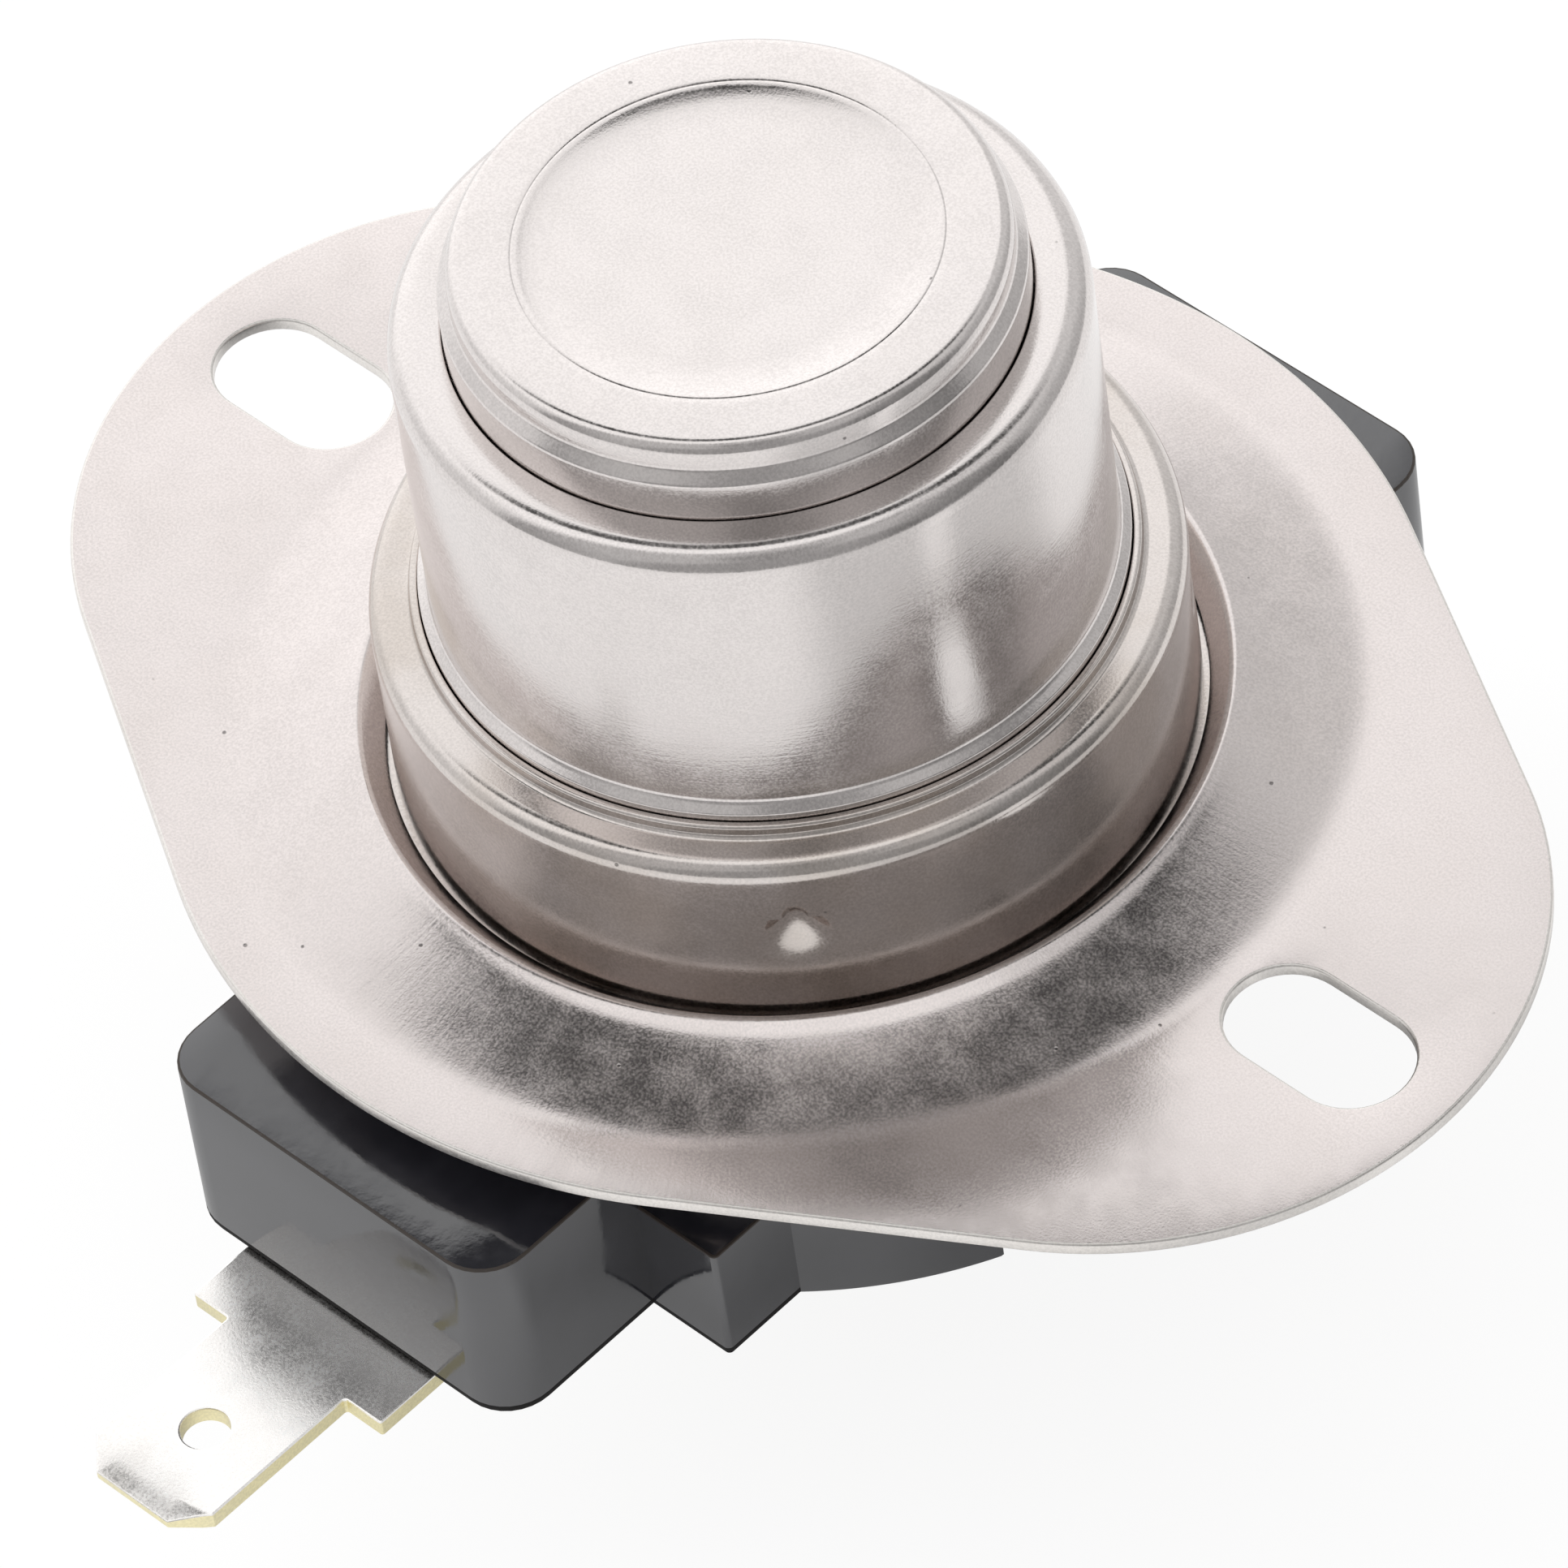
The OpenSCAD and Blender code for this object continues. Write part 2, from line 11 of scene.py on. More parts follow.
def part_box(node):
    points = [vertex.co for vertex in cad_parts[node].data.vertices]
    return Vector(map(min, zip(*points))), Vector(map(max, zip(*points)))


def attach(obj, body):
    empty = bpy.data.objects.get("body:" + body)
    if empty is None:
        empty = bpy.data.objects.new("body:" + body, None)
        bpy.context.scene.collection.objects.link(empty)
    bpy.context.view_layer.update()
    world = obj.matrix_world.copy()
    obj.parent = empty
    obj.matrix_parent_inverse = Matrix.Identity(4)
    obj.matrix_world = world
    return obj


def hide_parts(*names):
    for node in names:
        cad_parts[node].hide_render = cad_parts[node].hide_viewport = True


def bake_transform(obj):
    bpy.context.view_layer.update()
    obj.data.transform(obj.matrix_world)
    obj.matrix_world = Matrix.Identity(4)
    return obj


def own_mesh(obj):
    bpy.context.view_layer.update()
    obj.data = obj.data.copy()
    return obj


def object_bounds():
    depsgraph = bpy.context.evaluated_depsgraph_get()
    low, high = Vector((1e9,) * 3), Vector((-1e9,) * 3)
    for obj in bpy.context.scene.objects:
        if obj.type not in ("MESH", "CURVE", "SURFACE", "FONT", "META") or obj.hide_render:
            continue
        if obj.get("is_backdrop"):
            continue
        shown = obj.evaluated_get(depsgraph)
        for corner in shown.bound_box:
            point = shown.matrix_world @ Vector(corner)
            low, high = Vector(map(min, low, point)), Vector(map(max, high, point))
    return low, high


bl_info = {
    "name": "Bimetal Thermostat",
    "version": (1, 0, 0),
    "blender": (4, 5, 0),
    "location": "3D View > Sidebar > Thermostat",
    "description": "Builds the detailed pieces, materials and stage of a snap-disc thermostat",
    "category": "Object",
}

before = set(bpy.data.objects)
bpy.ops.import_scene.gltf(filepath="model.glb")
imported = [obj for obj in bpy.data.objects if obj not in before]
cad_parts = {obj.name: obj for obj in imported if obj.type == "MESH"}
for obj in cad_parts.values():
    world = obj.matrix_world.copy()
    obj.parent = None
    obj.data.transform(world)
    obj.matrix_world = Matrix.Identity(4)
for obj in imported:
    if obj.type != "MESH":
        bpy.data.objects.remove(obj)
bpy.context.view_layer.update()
MM = 0.001
HOUSING = "housing"
HUB_CURL_TURN = 65
PHOTO_SIZE = 1932


class ShellSizes(bpy.types.PropertyGroup):
    """Sizes of the sheet-metal pieces, in millimetres"""

    flange_t: FloatProperty(name="Flange sheet", default=0.55, min=0.45, max=0.7)
    flange_side_r: FloatProperty(name="Flange side radius", default=24.8, min=24, max=27)
    flange_end_r: FloatProperty(name="Flange end radius", default=16.4, min=15.5, max=17.5)
    flange_end_x: FloatProperty(name="Flange end centre", default=16.65, min=16, max=18)
    slot_pitch: FloatProperty(name="Slot pitch", default=53.7, min=53.2, max=54.2)
    slot_w: FloatProperty(name="Slot width", default=4.85, min=4, max=5.2)
    slot_len: FloatProperty(name="Slot length", default=8.1, min=6.5, max=8.6)
    hub_rise: FloatProperty(name="Hub rise", default=0.85, min=0.7, max=1)
    hub_curl_r: FloatProperty(name="Hub curl radius", default=1.5, min=1.3, max=1.7)
    hub_hole_r: FloatProperty(name="Hub hole radius", default=15.85, min=15.6, max=16.2)
    cup_t: FloatProperty(name="Cup sheet", default=0.5, min=0.4, max=0.6)
    collar_r: FloatProperty(name="Collar radius", default=15.6, min=15.5, max=15.9)
    collar_h: FloatProperty(name="Collar height", default=8.1, min=7.6, max=9)
    collar_bend_r: FloatProperty(name="Collar bend", default=0.75, min=0.6, max=0.9)
    collar_hole_r: FloatProperty(name="Collar hole", default=13.67, min=13.5, max=13.8)
    collar_lip_h: FloatProperty(name="Collar lip", default=0.55, min=0.3, max=0.8)
    collar_foot_r: FloatProperty(name="Collar foot", default=19.6, min=19, max=20.2)
    stake_count: IntProperty(name="Stakes", default=4, min=3, max=6)
    stake_angle: FloatProperty(name="First stake angle", default=-45, min=-60, max=-30)
    stake_z: FloatProperty(name="Stake height", default=4.4, min=4, max=4.8)
    stake_depth: FloatProperty(name="Stake depth", default=0.55, min=0.3, max=0.7)
    sleeve_r: FloatProperty(name="Sleeve radius", default=13.17, min=13.05, max=13.3)
    sleeve_h: FloatProperty(name="Sleeve height", default=22.45, min=20, max=24)
    sleeve_bend_r: FloatProperty(name="Sleeve bend", default=0.95, min=0.8, max=1.1)
    sleeve_foot_r: FloatProperty(name="Sleeve foot", default=13.57, min=13.4, max=13.7)
    cap_t: FloatProperty(name="Disc cup sheet", default=0.4, min=0.3, max=0.45)
    cap_r: FloatProperty(name="Disc cup radius", default=10.55, min=10.4, max=10.6)
    cap_foot_r: FloatProperty(name="Disc cup foot", default=11.0, min=10.8, max=11.1)
    cap_top: FloatProperty(name="Disc cup top", default=25.75, min=24, max=27)
    cap_bend_r: FloatProperty(name="Disc cup bend", default=1.0, min=0.8, max=1.1)
    recess_r: FloatProperty(name="Recess radius", default=7.97, min=7.4, max=8.4)
    recess_depth: FloatProperty(name="Recess depth", default=0.2, min=0.1, max=0.3)
    recess_blend_r: FloatProperty(name="Recess blend", default=9, min=6, max=12)


class SwitchSizes(bpy.types.PropertyGroup):
    """Sizes of the switch base, its terminals and its inner works, in millimetres"""

    body_r: FloatProperty(name="Body radius", default=19.8, min=19.4, max=20.4)
    body_z: FloatProperty(name="Body top", default=-0.7485, min=-1, max=-0.5)
    base_z: FloatProperty(name="Base underside", default=-11.6, min=-13, max=-10)
    neck_r: FloatProperty(name="Neck radius", default=15.0, min=14.8, max=15.3)
    neck_z: FloatProperty(name="Neck top", default=7.1, min=6.5, max=8)
    wing_w: FloatProperty(name="Wing width", default=17.66, min=16.5, max=18.4)
    wing_len: FloatProperty(name="Length over wings", default=53.6, min=52, max=56)
    wing_z: FloatProperty(name="Wing top", default=-3.05, min=-4, max=-2)
    wing_corner_r: FloatProperty(name="Wing corner", default=2.1, min=1.5, max=2.6)
    tooth_w: FloatProperty(name="Width over teeth", default=25.7, min=24.5, max=27)
    tooth_len: FloatProperty(name="Length over teeth", default=38.0, min=37, max=39)
    tooth_z: FloatProperty(name="Tooth top", default=-5.7, min=-7, max=-5)
    notch_y: FloatProperty(name="Notch half width", default=8.9, min=8, max=9.2)
    notch_z: FloatProperty(name="Notch top", default=-4.5, min=-5.6, max=-3.6)
    notch_r: FloatProperty(name="Body radius in the notches", default=16.2, min=15.2, max=17)
    tab_w: FloatProperty(name="Tab width", default=6.3, min=6, max=6.6)
    tab_t: FloatProperty(name="Tab thickness", default=0.8, min=0.7, max=0.9)
    tab_out: FloatProperty(name="Tab length past the wing", default=11.25, min=10, max=13)
    shoulder_w: FloatProperty(name="Shoulder width", default=10.1, min=9.4, max=10.8)
    shoulder_out: FloatProperty(name="Shoulder past the wing", default=2.87, min=2.5, max=3.5)
    bend_out: FloatProperty(name="Bend past the wing", default=0.4, min=0.3, max=0.8)
    bend_r: FloatProperty(name="Bend radius", default=0.5, min=0.3, max=0.6)
    tail_y: FloatProperty(name="Tail end", default=6.6, min=6, max=7)
    terminal_shift: FloatProperty(name="Terminal shift", default=0.4, min=0, max=0.5)
    tab_hole_d: FloatProperty(name="Tab hole", default=1.95, min=1.6, max=2.2)
    rivet_x: FloatProperty(name="Rivet offset", default=2.6, min=2.3, max=2.7)
    rivet_y: FloatProperty(name="Rivet distance", default=9.5, min=9.4, max=9.6)
    rivet_r: FloatProperty(name="Rivet shank", default=1.1, min=0.9, max=1.2)
    rivet_head_r: FloatProperty(name="Rivet head", default=1.9, min=1.7, max=2)
    floor_z: FloatProperty(name="Cavity floor", default=-8.0, min=-9, max=-7)
    arm_z: FloatProperty(name="Arm underside", default=-6.4, min=-7, max=-6)


def arc(cx, cz, r, start, end, steps=8):
    """Points of an arc about (cx, cz), angles in degrees"""
    turns = [math.radians(start + (end - start) * i / steps) for i in range(steps + 1)]
    return [(cx + r * math.cos(t), cz + r * math.sin(t)) for t in turns]


def rounded(corners, steps=6):
    """A closed line through (x, z, radius) corners, each rounded by its radius"""
    points = []
    count = len(corners)
    for i, (x, z, r) in enumerate(corners):
        here = Vector((x, z))
        back = Vector(corners[i - 1][:2]) - here
        on = Vector(corners[(i + 1) % count][:2]) - here
        if r <= 0 or back.length < 1e-9 or on.length < 1e-9:
            points.append((x, z))
            continue
        back_dir = back.normalized()
        on_dir = on.normalized()
        half = back_dir.angle(on_dir) / 2
        if half > math.radians(89):
            points.append((x, z))
            continue
        run = min(r / math.tan(half), 0.49 * back.length, 0.49 * on.length)
        true_r = run * math.tan(half)
        centre = here + (back_dir + on_dir).normalized() * (true_r / math.sin(half))
        a = here + back_dir * run - centre
        b = here + on_dir * run - centre
        first = math.atan2(a.y, a.x)
        sweep = (math.atan2(b.y, b.x) - first + math.pi) % (2 * math.pi) - math.pi
        for k in range(steps + 1):
            t = first + sweep * k / steps
            points.append((centre.x + true_r * math.cos(t), centre.y + true_r * math.sin(t)))
    return points


def between(pairs, x):
    """The value at x on a line through (x, value) pairs"""
    for (x1, v1), (x2, v2) in zip(pairs, pairs[1:]):
        if x <= x2:
            return v1 + (v2 - v1) * max(0.0, x - x1) / (x2 - x1)
    return pairs[-1][1]


def inset(points, d):
    """A closed plan line moved inwards by d, for a line that runs anticlockwise"""
    out = []
    count = len(points)
    for i in range(count):
        p = Vector(points[i])
        e1 = (p - Vector(points[i - 1])).normalized()
        e2 = (Vector(points[(i + 1) % count]) - p).normalized()
        n1 = Vector((-e1.y, e1.x))
        n2 = Vector((-e2.y, e2.x))
        out.append(tuple(p + (n1 + n2) * (d / (1 + n1.dot(n2)))))
    return out


def ring(bm, points, z):
    """A closed ring of points at one height, in millimetres"""
    return [bm.verts.new((x * MM, y * MM, z * MM)) for x, y in points]


def bridge(bm, a, b, material=0):
    """Quads between two rings of the same count"""
    count = len(a)
    for i in range(count):
        j = (i + 1) % count
        face = bm.faces.new((a[i], a[j], b[j], b[i]))
        face.material_index = material


def cap(bm, rings):
    """Flat triangles inside the first ring and outside the others"""
    edges = []
    for loop in rings:
        count = len(loop)
        for i in range(count):
            pair = (loop[i], loop[(i + 1) % count])
            edges.append(bm.edges.get(pair) or bm.edges.new(pair))
    made = bmesh.ops.triangle_fill(bm, edges=edges, use_beauty=True, use_dissolve=False, normal=(0, 0, 1))
    for item in made["geom"]:
        if isinstance(item, bmesh.types.BMFace):
            item.material_index = 0


def prism(bm, outline, levels, holes=(), bands=None):
    """A plate: levels are (inset, height) pairs from the top face down, bands the materials between them"""
    top = []
    bottom = []
    for points, sign in [(outline, 1)] + [(hole, -1) for hole in holes]:
        loops = [ring(bm, inset(points, sign * d), z) for d, z in levels]
        for i in range(len(loops) - 1):
            bridge(bm, loops[i], loops[i + 1], bands[i] if bands else 0)
        top.append(loops[0])
        bottom.append(loops[-1])
    cap(bm, top)
    cap(bm, bottom)


def lathe(bm, profile, steps):
    """A closed profile of (radius, height) points turned about Z"""
    verts = [bm.verts.new((r * MM, 0, z * MM)) for r, z in profile]
    count = len(verts)
    edges = [bm.edges.new((verts[i], verts[(i + 1) % count])) for i in range(count)]
    bmesh.ops.spin(bm, geom=verts + edges, cent=(0, 0, 0), axis=(0, 0, 1), angle=2 * math.pi, steps=steps,
                   use_merge=True, use_duplicate=False)


def half_turn(plan):
    """A plan turned by 180 degrees about the axis"""
    return [(-x, -y) for x, y in plan]


def circle(x, y, r, steps):
    """A closed plan circle"""
    return arc(x, y, r, 0, 360, steps)[:-1]


def cut(bm, y):
    """Splits a mesh across Y, so that it can bend there"""
    geom = bm.verts[:] + bm.edges[:] + bm.faces[:]
    bmesh.ops.bisect_plane(bm, geom=geom, dist=1e-8, plane_co=(0, y, 0), plane_no=(0, 1, 0))


def add_piece(name, bm, materials, node, body=HOUSING, sharp=32):
    """Turns a bmesh into a piece that stands for a CAD node"""
    bmesh.ops.remove_doubles(bm, verts=bm.verts, dist=1e-7)
    bmesh.ops.dissolve_degenerate(bm, edges=bm.edges, dist=1e-8)
    bmesh.ops.recalc_face_normals(bm, faces=bm.faces)
    mesh = bpy.data.meshes.new(name)
    bm.to_mesh(mesh)
    bm.free()
    mesh.shade_smooth()
    mesh.set_sharp_from_angle(angle=math.radians(sharp))
    for material in materials:
        mesh.materials.append(material)
    obj = bpy.data.objects.new(name, mesh)
    bpy.context.scene.collection.objects.link(obj)
    if body:
        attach(obj, body)
    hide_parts(node)
    return obj


def new_node(tree, kind, settings=None, **inputs):
    """Adds a node, with settings by name and inputs by name or by number as i0, i1 and so on"""
    made = tree.nodes.new(kind)
    for key, value in (settings or {}).items():
        setattr(made, key, value)
    for key, value in inputs.items():
        number = key[0] == "i" and key[1:].isdigit()
        socket = made.inputs[int(key[1:])] if number else made.inputs[key.replace("_", " ")]
        if isinstance(value, bpy.types.NodeSocket):
            tree.links.new(value, socket)
        else:
            socket.default_value = value
    return made


def maths(tree, operation, a, b=0.0):
    """The output of one Math node"""
    return new_node(tree, "ShaderNodeMath", {"operation": operation}, i0=a, i1=b).outputs[0]


def times(tree, first, *others):
    """The product of several values"""
    for other in others:
        first = maths(tree, "MULTIPLY", first, other)
    return first


def vectors(tree, operation, a, **inputs):
    """The output of one Vector Math node"""
    return new_node(tree, "ShaderNodeVectorMath", {"operation": operation}, i0=a, **inputs).outputs[0]


def length_of(tree, a, b):
    """The length of a right triangle's long side"""
    return maths(tree, "SQRT", maths(tree, "ADD", times(tree, a, a), times(tree, b, b)))


def ramp(tree, value, low, high, to_low=0.0, to_high=1.0):
    """A smooth step of a value from one range to another"""
    made = new_node(tree, "ShaderNodeMapRange", {"interpolation_type": "SMOOTHSTEP"}, Value=value)
    for key, number in (("From Min", low), ("From Max", high), ("To Min", to_low), ("To Max", to_high)):
        made.inputs[key].default_value = number
    return made.outputs[0]


def noise(tree, vector, scale, detail=2.0, roughness=0.5):
    """The value of a 3-D noise"""
    made = new_node(tree, "ShaderNodeTexNoise", Vector=vector, Scale=scale, Detail=detail,
                    Roughness=roughness)
    return made.outputs[0]


def mix_colour(tree, factor, a, b):
    """A colour between a and b"""
    made = new_node(tree, "ShaderNodeMix", {"data_type": "RGBA"}, i0=factor, i6=a, i7=b)
    return made.outputs[2]


def group(name, inputs, outputs):
    """A new shader node group with its own sockets: the tree, its input node and its output node"""
    tree = bpy.data.node_groups.new(name, "ShaderNodeTree")
    for key, kind in inputs:
        tree.interface.new_socket(name=key, in_out="INPUT", socket_type=kind)
    for key, kind in outputs:
        tree.interface.new_socket(name=key, in_out="OUTPUT", socket_type=kind)
    return tree, tree.nodes.new("NodeGroupInput"), tree.nodes.new("NodeGroupOutput")


def give(tree, out, values):
    """Links values to the named outputs of a group"""
    for key, value in values.items():
        tree.links.new(value, out.inputs[key])


NUMBER = "NodeSocketFloat"
COLOUR = "NodeSocketColor"
VECTOR = "NodeSocketVector"


def wrap_group():
    """Position in millimetres, and the same wrapped round the axis"""
    name = "Wrapped position"
    if name in bpy.data.node_groups:
        return bpy.data.node_groups[name]
    outs = [("Place", VECTOR), ("Angle", NUMBER), ("Radius", NUMBER), ("Height", NUMBER), ("Round", VECTOR)]
    tree, _, out = group(name, [], outs)
    place = new_node(tree, "ShaderNodeTexCoord").outputs["Object"]
    place = vectors(tree, "SCALE", place, Scale=1 / MM)
    x, y, z = new_node(tree, "ShaderNodeSeparateXYZ", i0=place).outputs
    flat = new_node(tree, "ShaderNodeCombineXYZ", i0=x, i1=y).outputs[0]
    give(tree, out, {"Place": place, "Angle": maths(tree, "ARCTAN2", y, x), "Radius": length_of(tree, x, y),
                     "Height": z, "Round": vectors(tree, "NORMALIZE", flat)})
    return tree


def steel_group():
    """Drawn plated steel: cloudy tone, fine grain, draw lines, small pits and brown stain"""
    name = "Drawn steel"
    if name in bpy.data.node_groups:
        return bpy.data.node_groups[name]
    ins = [("Colour", COLOUR), ("Stain colour", COLOUR), ("Stain", NUMBER), ("Roughness", NUMBER),
           ("Draw lines", NUMBER), ("Ring lines", NUMBER)]
    outs = [("Colour", COLOUR), ("Roughness", NUMBER), ("Height", NUMBER)]
    tree, given, out = group(name, ins, outs)
    where = new_node(tree, "ShaderNodeGroup", {"node_tree": wrap_group()}).outputs
    cloud = noise(tree, where["Place"], 0.14, 4.0, 0.55)
    patch = noise(tree, where["Place"], 0.6, 3.0, 0.5)
    grain = noise(tree, where["Place"], 9.0, 2.0, 0.6)
    # Draw lines run along the draw, close together round the axis
    round_by = times(tree, where["Angle"], 90.0)
    along = times(tree, maths(tree, "ADD", where["Radius"], where["Height"]), 0.35)
    lines_at = new_node(tree, "ShaderNodeCombineXYZ", i0=round_by, i1=along).outputs[0]
    lines = noise(tree, lines_at, 1.0, 2.0, 0.6)
    # Ring lines run round the axis, close together along the radius and the height
    per_mm = 8.0
    outwards = new_node(tree, "ShaderNodeCombineXYZ", i2=times(tree, where["Radius"], per_mm)).outputs[0]
    round_at = vectors(tree, "MULTIPLY", where["Round"], i1=(1.5, 1.5, 0.0))
    rings_at = vectors(tree, "ADD", round_at, i1=outwards)
    rings = new_node(tree, "ShaderNodeTexNoise", {"noise_dimensions": "4D"}, Vector=rings_at, Scale=1.0,
                     W=times(tree, where["Height"], per_mm), Detail=2.0).outputs[0]
    # A few of the cells hold a pit
    cells = new_node(tree, "ShaderNodeTexVoronoi", Vector=where["Place"], Scale=0.5).outputs
    pit = ramp(tree, cells["Distance"], 0.03, 0.055, 1.0, 0.0)
    chosen = new_node(tree, "ShaderNodeSeparateColor", i0=cells["Color"]).outputs[0]
    pit = times(tree, pit, ramp(tree, chosen, 0.6, 0.62))
    stain = times(tree, ramp(tree, cloud, 0.42, 0.68), given.outputs["Stain"])
    tone = mix_colour(tree, stain, given.outputs["Colour"], given.outputs["Stain colour"])
    shade = maths(tree, "ADD", ramp(tree, patch, 0.3, 0.7, 0.97, 1.02),
                  ramp(tree, grain, 0.3, 0.7, -0.08, 0.08))
    shade = maths(tree, "SUBTRACT", shade, times(tree, pit, 0.6))
    tone = vectors(tree, "SCALE", tone, Scale=shade)
    rough = maths(tree, "ADD", given.outputs["Roughness"], ramp(tree, patch, 0.3, 0.7, -0.03, 0.04))
    rough = maths(tree, "ADD", rough, ramp(tree, grain, 0.3, 0.7, -0.03, 0.05))
    drawn = times(tree, maths(tree, "SUBTRACT", lines, 0.5), given.outputs["Draw lines"])
    turned = times(tree, maths(tree, "SUBTRACT", rings, 0.5), given.outputs["Ring lines"])
    height = maths(tree, "ADD", maths(tree, "ADD", drawn, turned), grain)
    height = maths(tree, "SUBTRACT", height, times(tree, pit, 2.0))
    give(tree, out, {"Colour": tone, "Roughness": rough, "Height": height})
    return tree


def moulded_group():
    """Moulded plastic: slight mottle, dust and a rippled skin"""
    name = "Moulded skin"
    if name in bpy.data.node_groups:
        return bpy.data.node_groups[name]
    ins = [("Colour", COLOUR), ("Dust colour", COLOUR), ("Dust", NUMBER), ("Roughness", NUMBER)]
    outs = [("Colour", COLOUR), ("Roughness", NUMBER), ("Height", NUMBER)]
    tree, given, out = group(name, ins, outs)
    where = new_node(tree, "ShaderNodeGroup", {"node_tree": wrap_group()}).outputs
    mottle = noise(tree, where["Place"], 0.5, 4.0, 0.6)
    skin = noise(tree, where["Place"], 2.2, 2.0, 0.5)
    fine = noise(tree, where["Place"], 7.0, 3.0, 0.65)
    dust = times(tree, ramp(tree, fine, 0.6, 0.75), given.outputs["Dust"])
    tone = mix_colour(tree, dust, given.outputs["Colour"], given.outputs["Dust colour"])
    shade = ramp(tree, mottle, 0.3, 0.7, 0.85, 1.15)
    tone = vectors(tree, "SCALE", tone, Scale=shade)
    rough = maths(tree, "ADD", given.outputs["Roughness"], ramp(tree, mottle, 0.3, 0.7, -0.05, 0.07))
    height = maths(tree, "ADD", skin, times(tree, fine, 0.25))
    give(tree, out, {"Colour": tone, "Roughness": rough, "Height": height})
    return tree


def start_material(name):
    """A new material with its tree and its Principled shader"""
    made = bpy.data.materials.new(name)
    made.use_nodes = True
    tree = made.node_tree
    return made, tree, tree.nodes["Principled BSDF"]


def wire(tree, shader, surface, depth):
    """Links a surface group to a shader, with its height as bump. depth is in millimetres"""
    bump = new_node(tree, "ShaderNodeBump", Strength=1.0, Distance=depth * MM,
                    Height=surface.outputs["Height"])
    tree.links.new(surface.outputs["Colour"], shader.inputs["Base Color"])
    tree.links.new(surface.outputs["Roughness"], shader.inputs["Roughness"])
    tree.links.new(bump.outputs[0], shader.inputs["Normal"])


def steel(name, colour, rough, stain=0.15, stain_colour=(0.42, 0.35, 0.28, 1), lines=0.4, rings=0.0,
          depth=0.003):
    """Plated steel or another drawn metal with its own tone"""
    if name in bpy.data.materials:
        return bpy.data.materials[name]
    made, tree, shader = start_material(name)
    shader.inputs["Metallic"].default_value = 1.0
    surface = new_node(tree, "ShaderNodeGroup", {"node_tree": steel_group()}, Colour=colour, Stain=stain,
                       Stain_colour=stain_colour, Roughness=rough, Draw_lines=lines, Ring_lines=rings)
    wire(tree, shader, surface, depth)
    return made


def moulded(name, colour, rough, dust=0.1, dust_colour=(0.2, 0.2, 0.2, 1), depth=0.004, ior=1.5):
    """Moulded plastic, ceramic or another dull solid"""
    if name in bpy.data.materials:
        return bpy.data.materials[name]
    made, tree, shader = start_material(name)
    shader.inputs["IOR"].default_value = ior
    surface = new_node(tree, "ShaderNodeGroup", {"node_tree": moulded_group()}, Colour=colour, Dust=dust,
                       Dust_colour=dust_colour, Roughness=rough)
    wire(tree, shader, surface, depth)
    return made


def shell_steel():
    """The flange's steel"""
    return steel("Flange steel", (0.67, 0.62, 0.605, 1), 0.18, stain=0.05, lines=1.0)


def cup_steel():
    """The sleeve's and the disc cup's steel"""
    return steel("Cup steel", (0.71, 0.67, 0.655, 1), 0.16, stain=0.03, lines=0.3, rings=0.8)


def collar_steel():
    """The collar's steel, browned by the heat of its weld"""
    return steel("Collar steel", (0.65, 0.605, 0.58, 1), 0.16, stain=0.3, lines=0.3, rings=0.5)


def black_phenolic():
    """The base's moulding"""
    return moulded("Black phenolic", (0.026, 0.026, 0.033, 1), 0.11, dust=0.05, ior=2.0)


def flange_outline(s, steps=48):
    """Plan of the flange, anticlockwise"""
    a = math.degrees(math.acos((s.flange_side_r - s.flange_end_r) / s.flange_end_x))
    points = arc(s.flange_end_x, 0, s.flange_end_r, -a, a, steps)
    points += arc(0, 0, s.flange_side_r, a, 180 - a, steps)
    points += arc(-s.flange_end_x, 0, s.flange_end_r, 180 - a, 180 + a, steps)
    points += arc(0, 0, s.flange_side_r, 180 + a, 360 - a, steps)
    return drop_repeats(points)


def drop_repeats(points):
    """A closed line without points that lie on their neighbour"""
    return [p for i, p in enumerate(points) if (Vector(p) - Vector(points[i - 1])).length > 1e-6]


def slot_outline(s, x, steps=24):
    """Plan of a slot centred at x, anticlockwise"""
    half = (s.slot_len - s.slot_w) / 2
    r = s.slot_w / 2
    return drop_repeats(arc(x + half, 0, r, -90, 90, steps) + arc(x - half, 0, r, 90, 270, steps))


def curl_tip_z(s):
    """Height of the tip of the hub's rolled hole edge"""
    return s.hub_rise - s.hub_curl_r + (s.hub_curl_r - s.flange_t) * math.cos(math.radians(HUB_CURL_TURN))


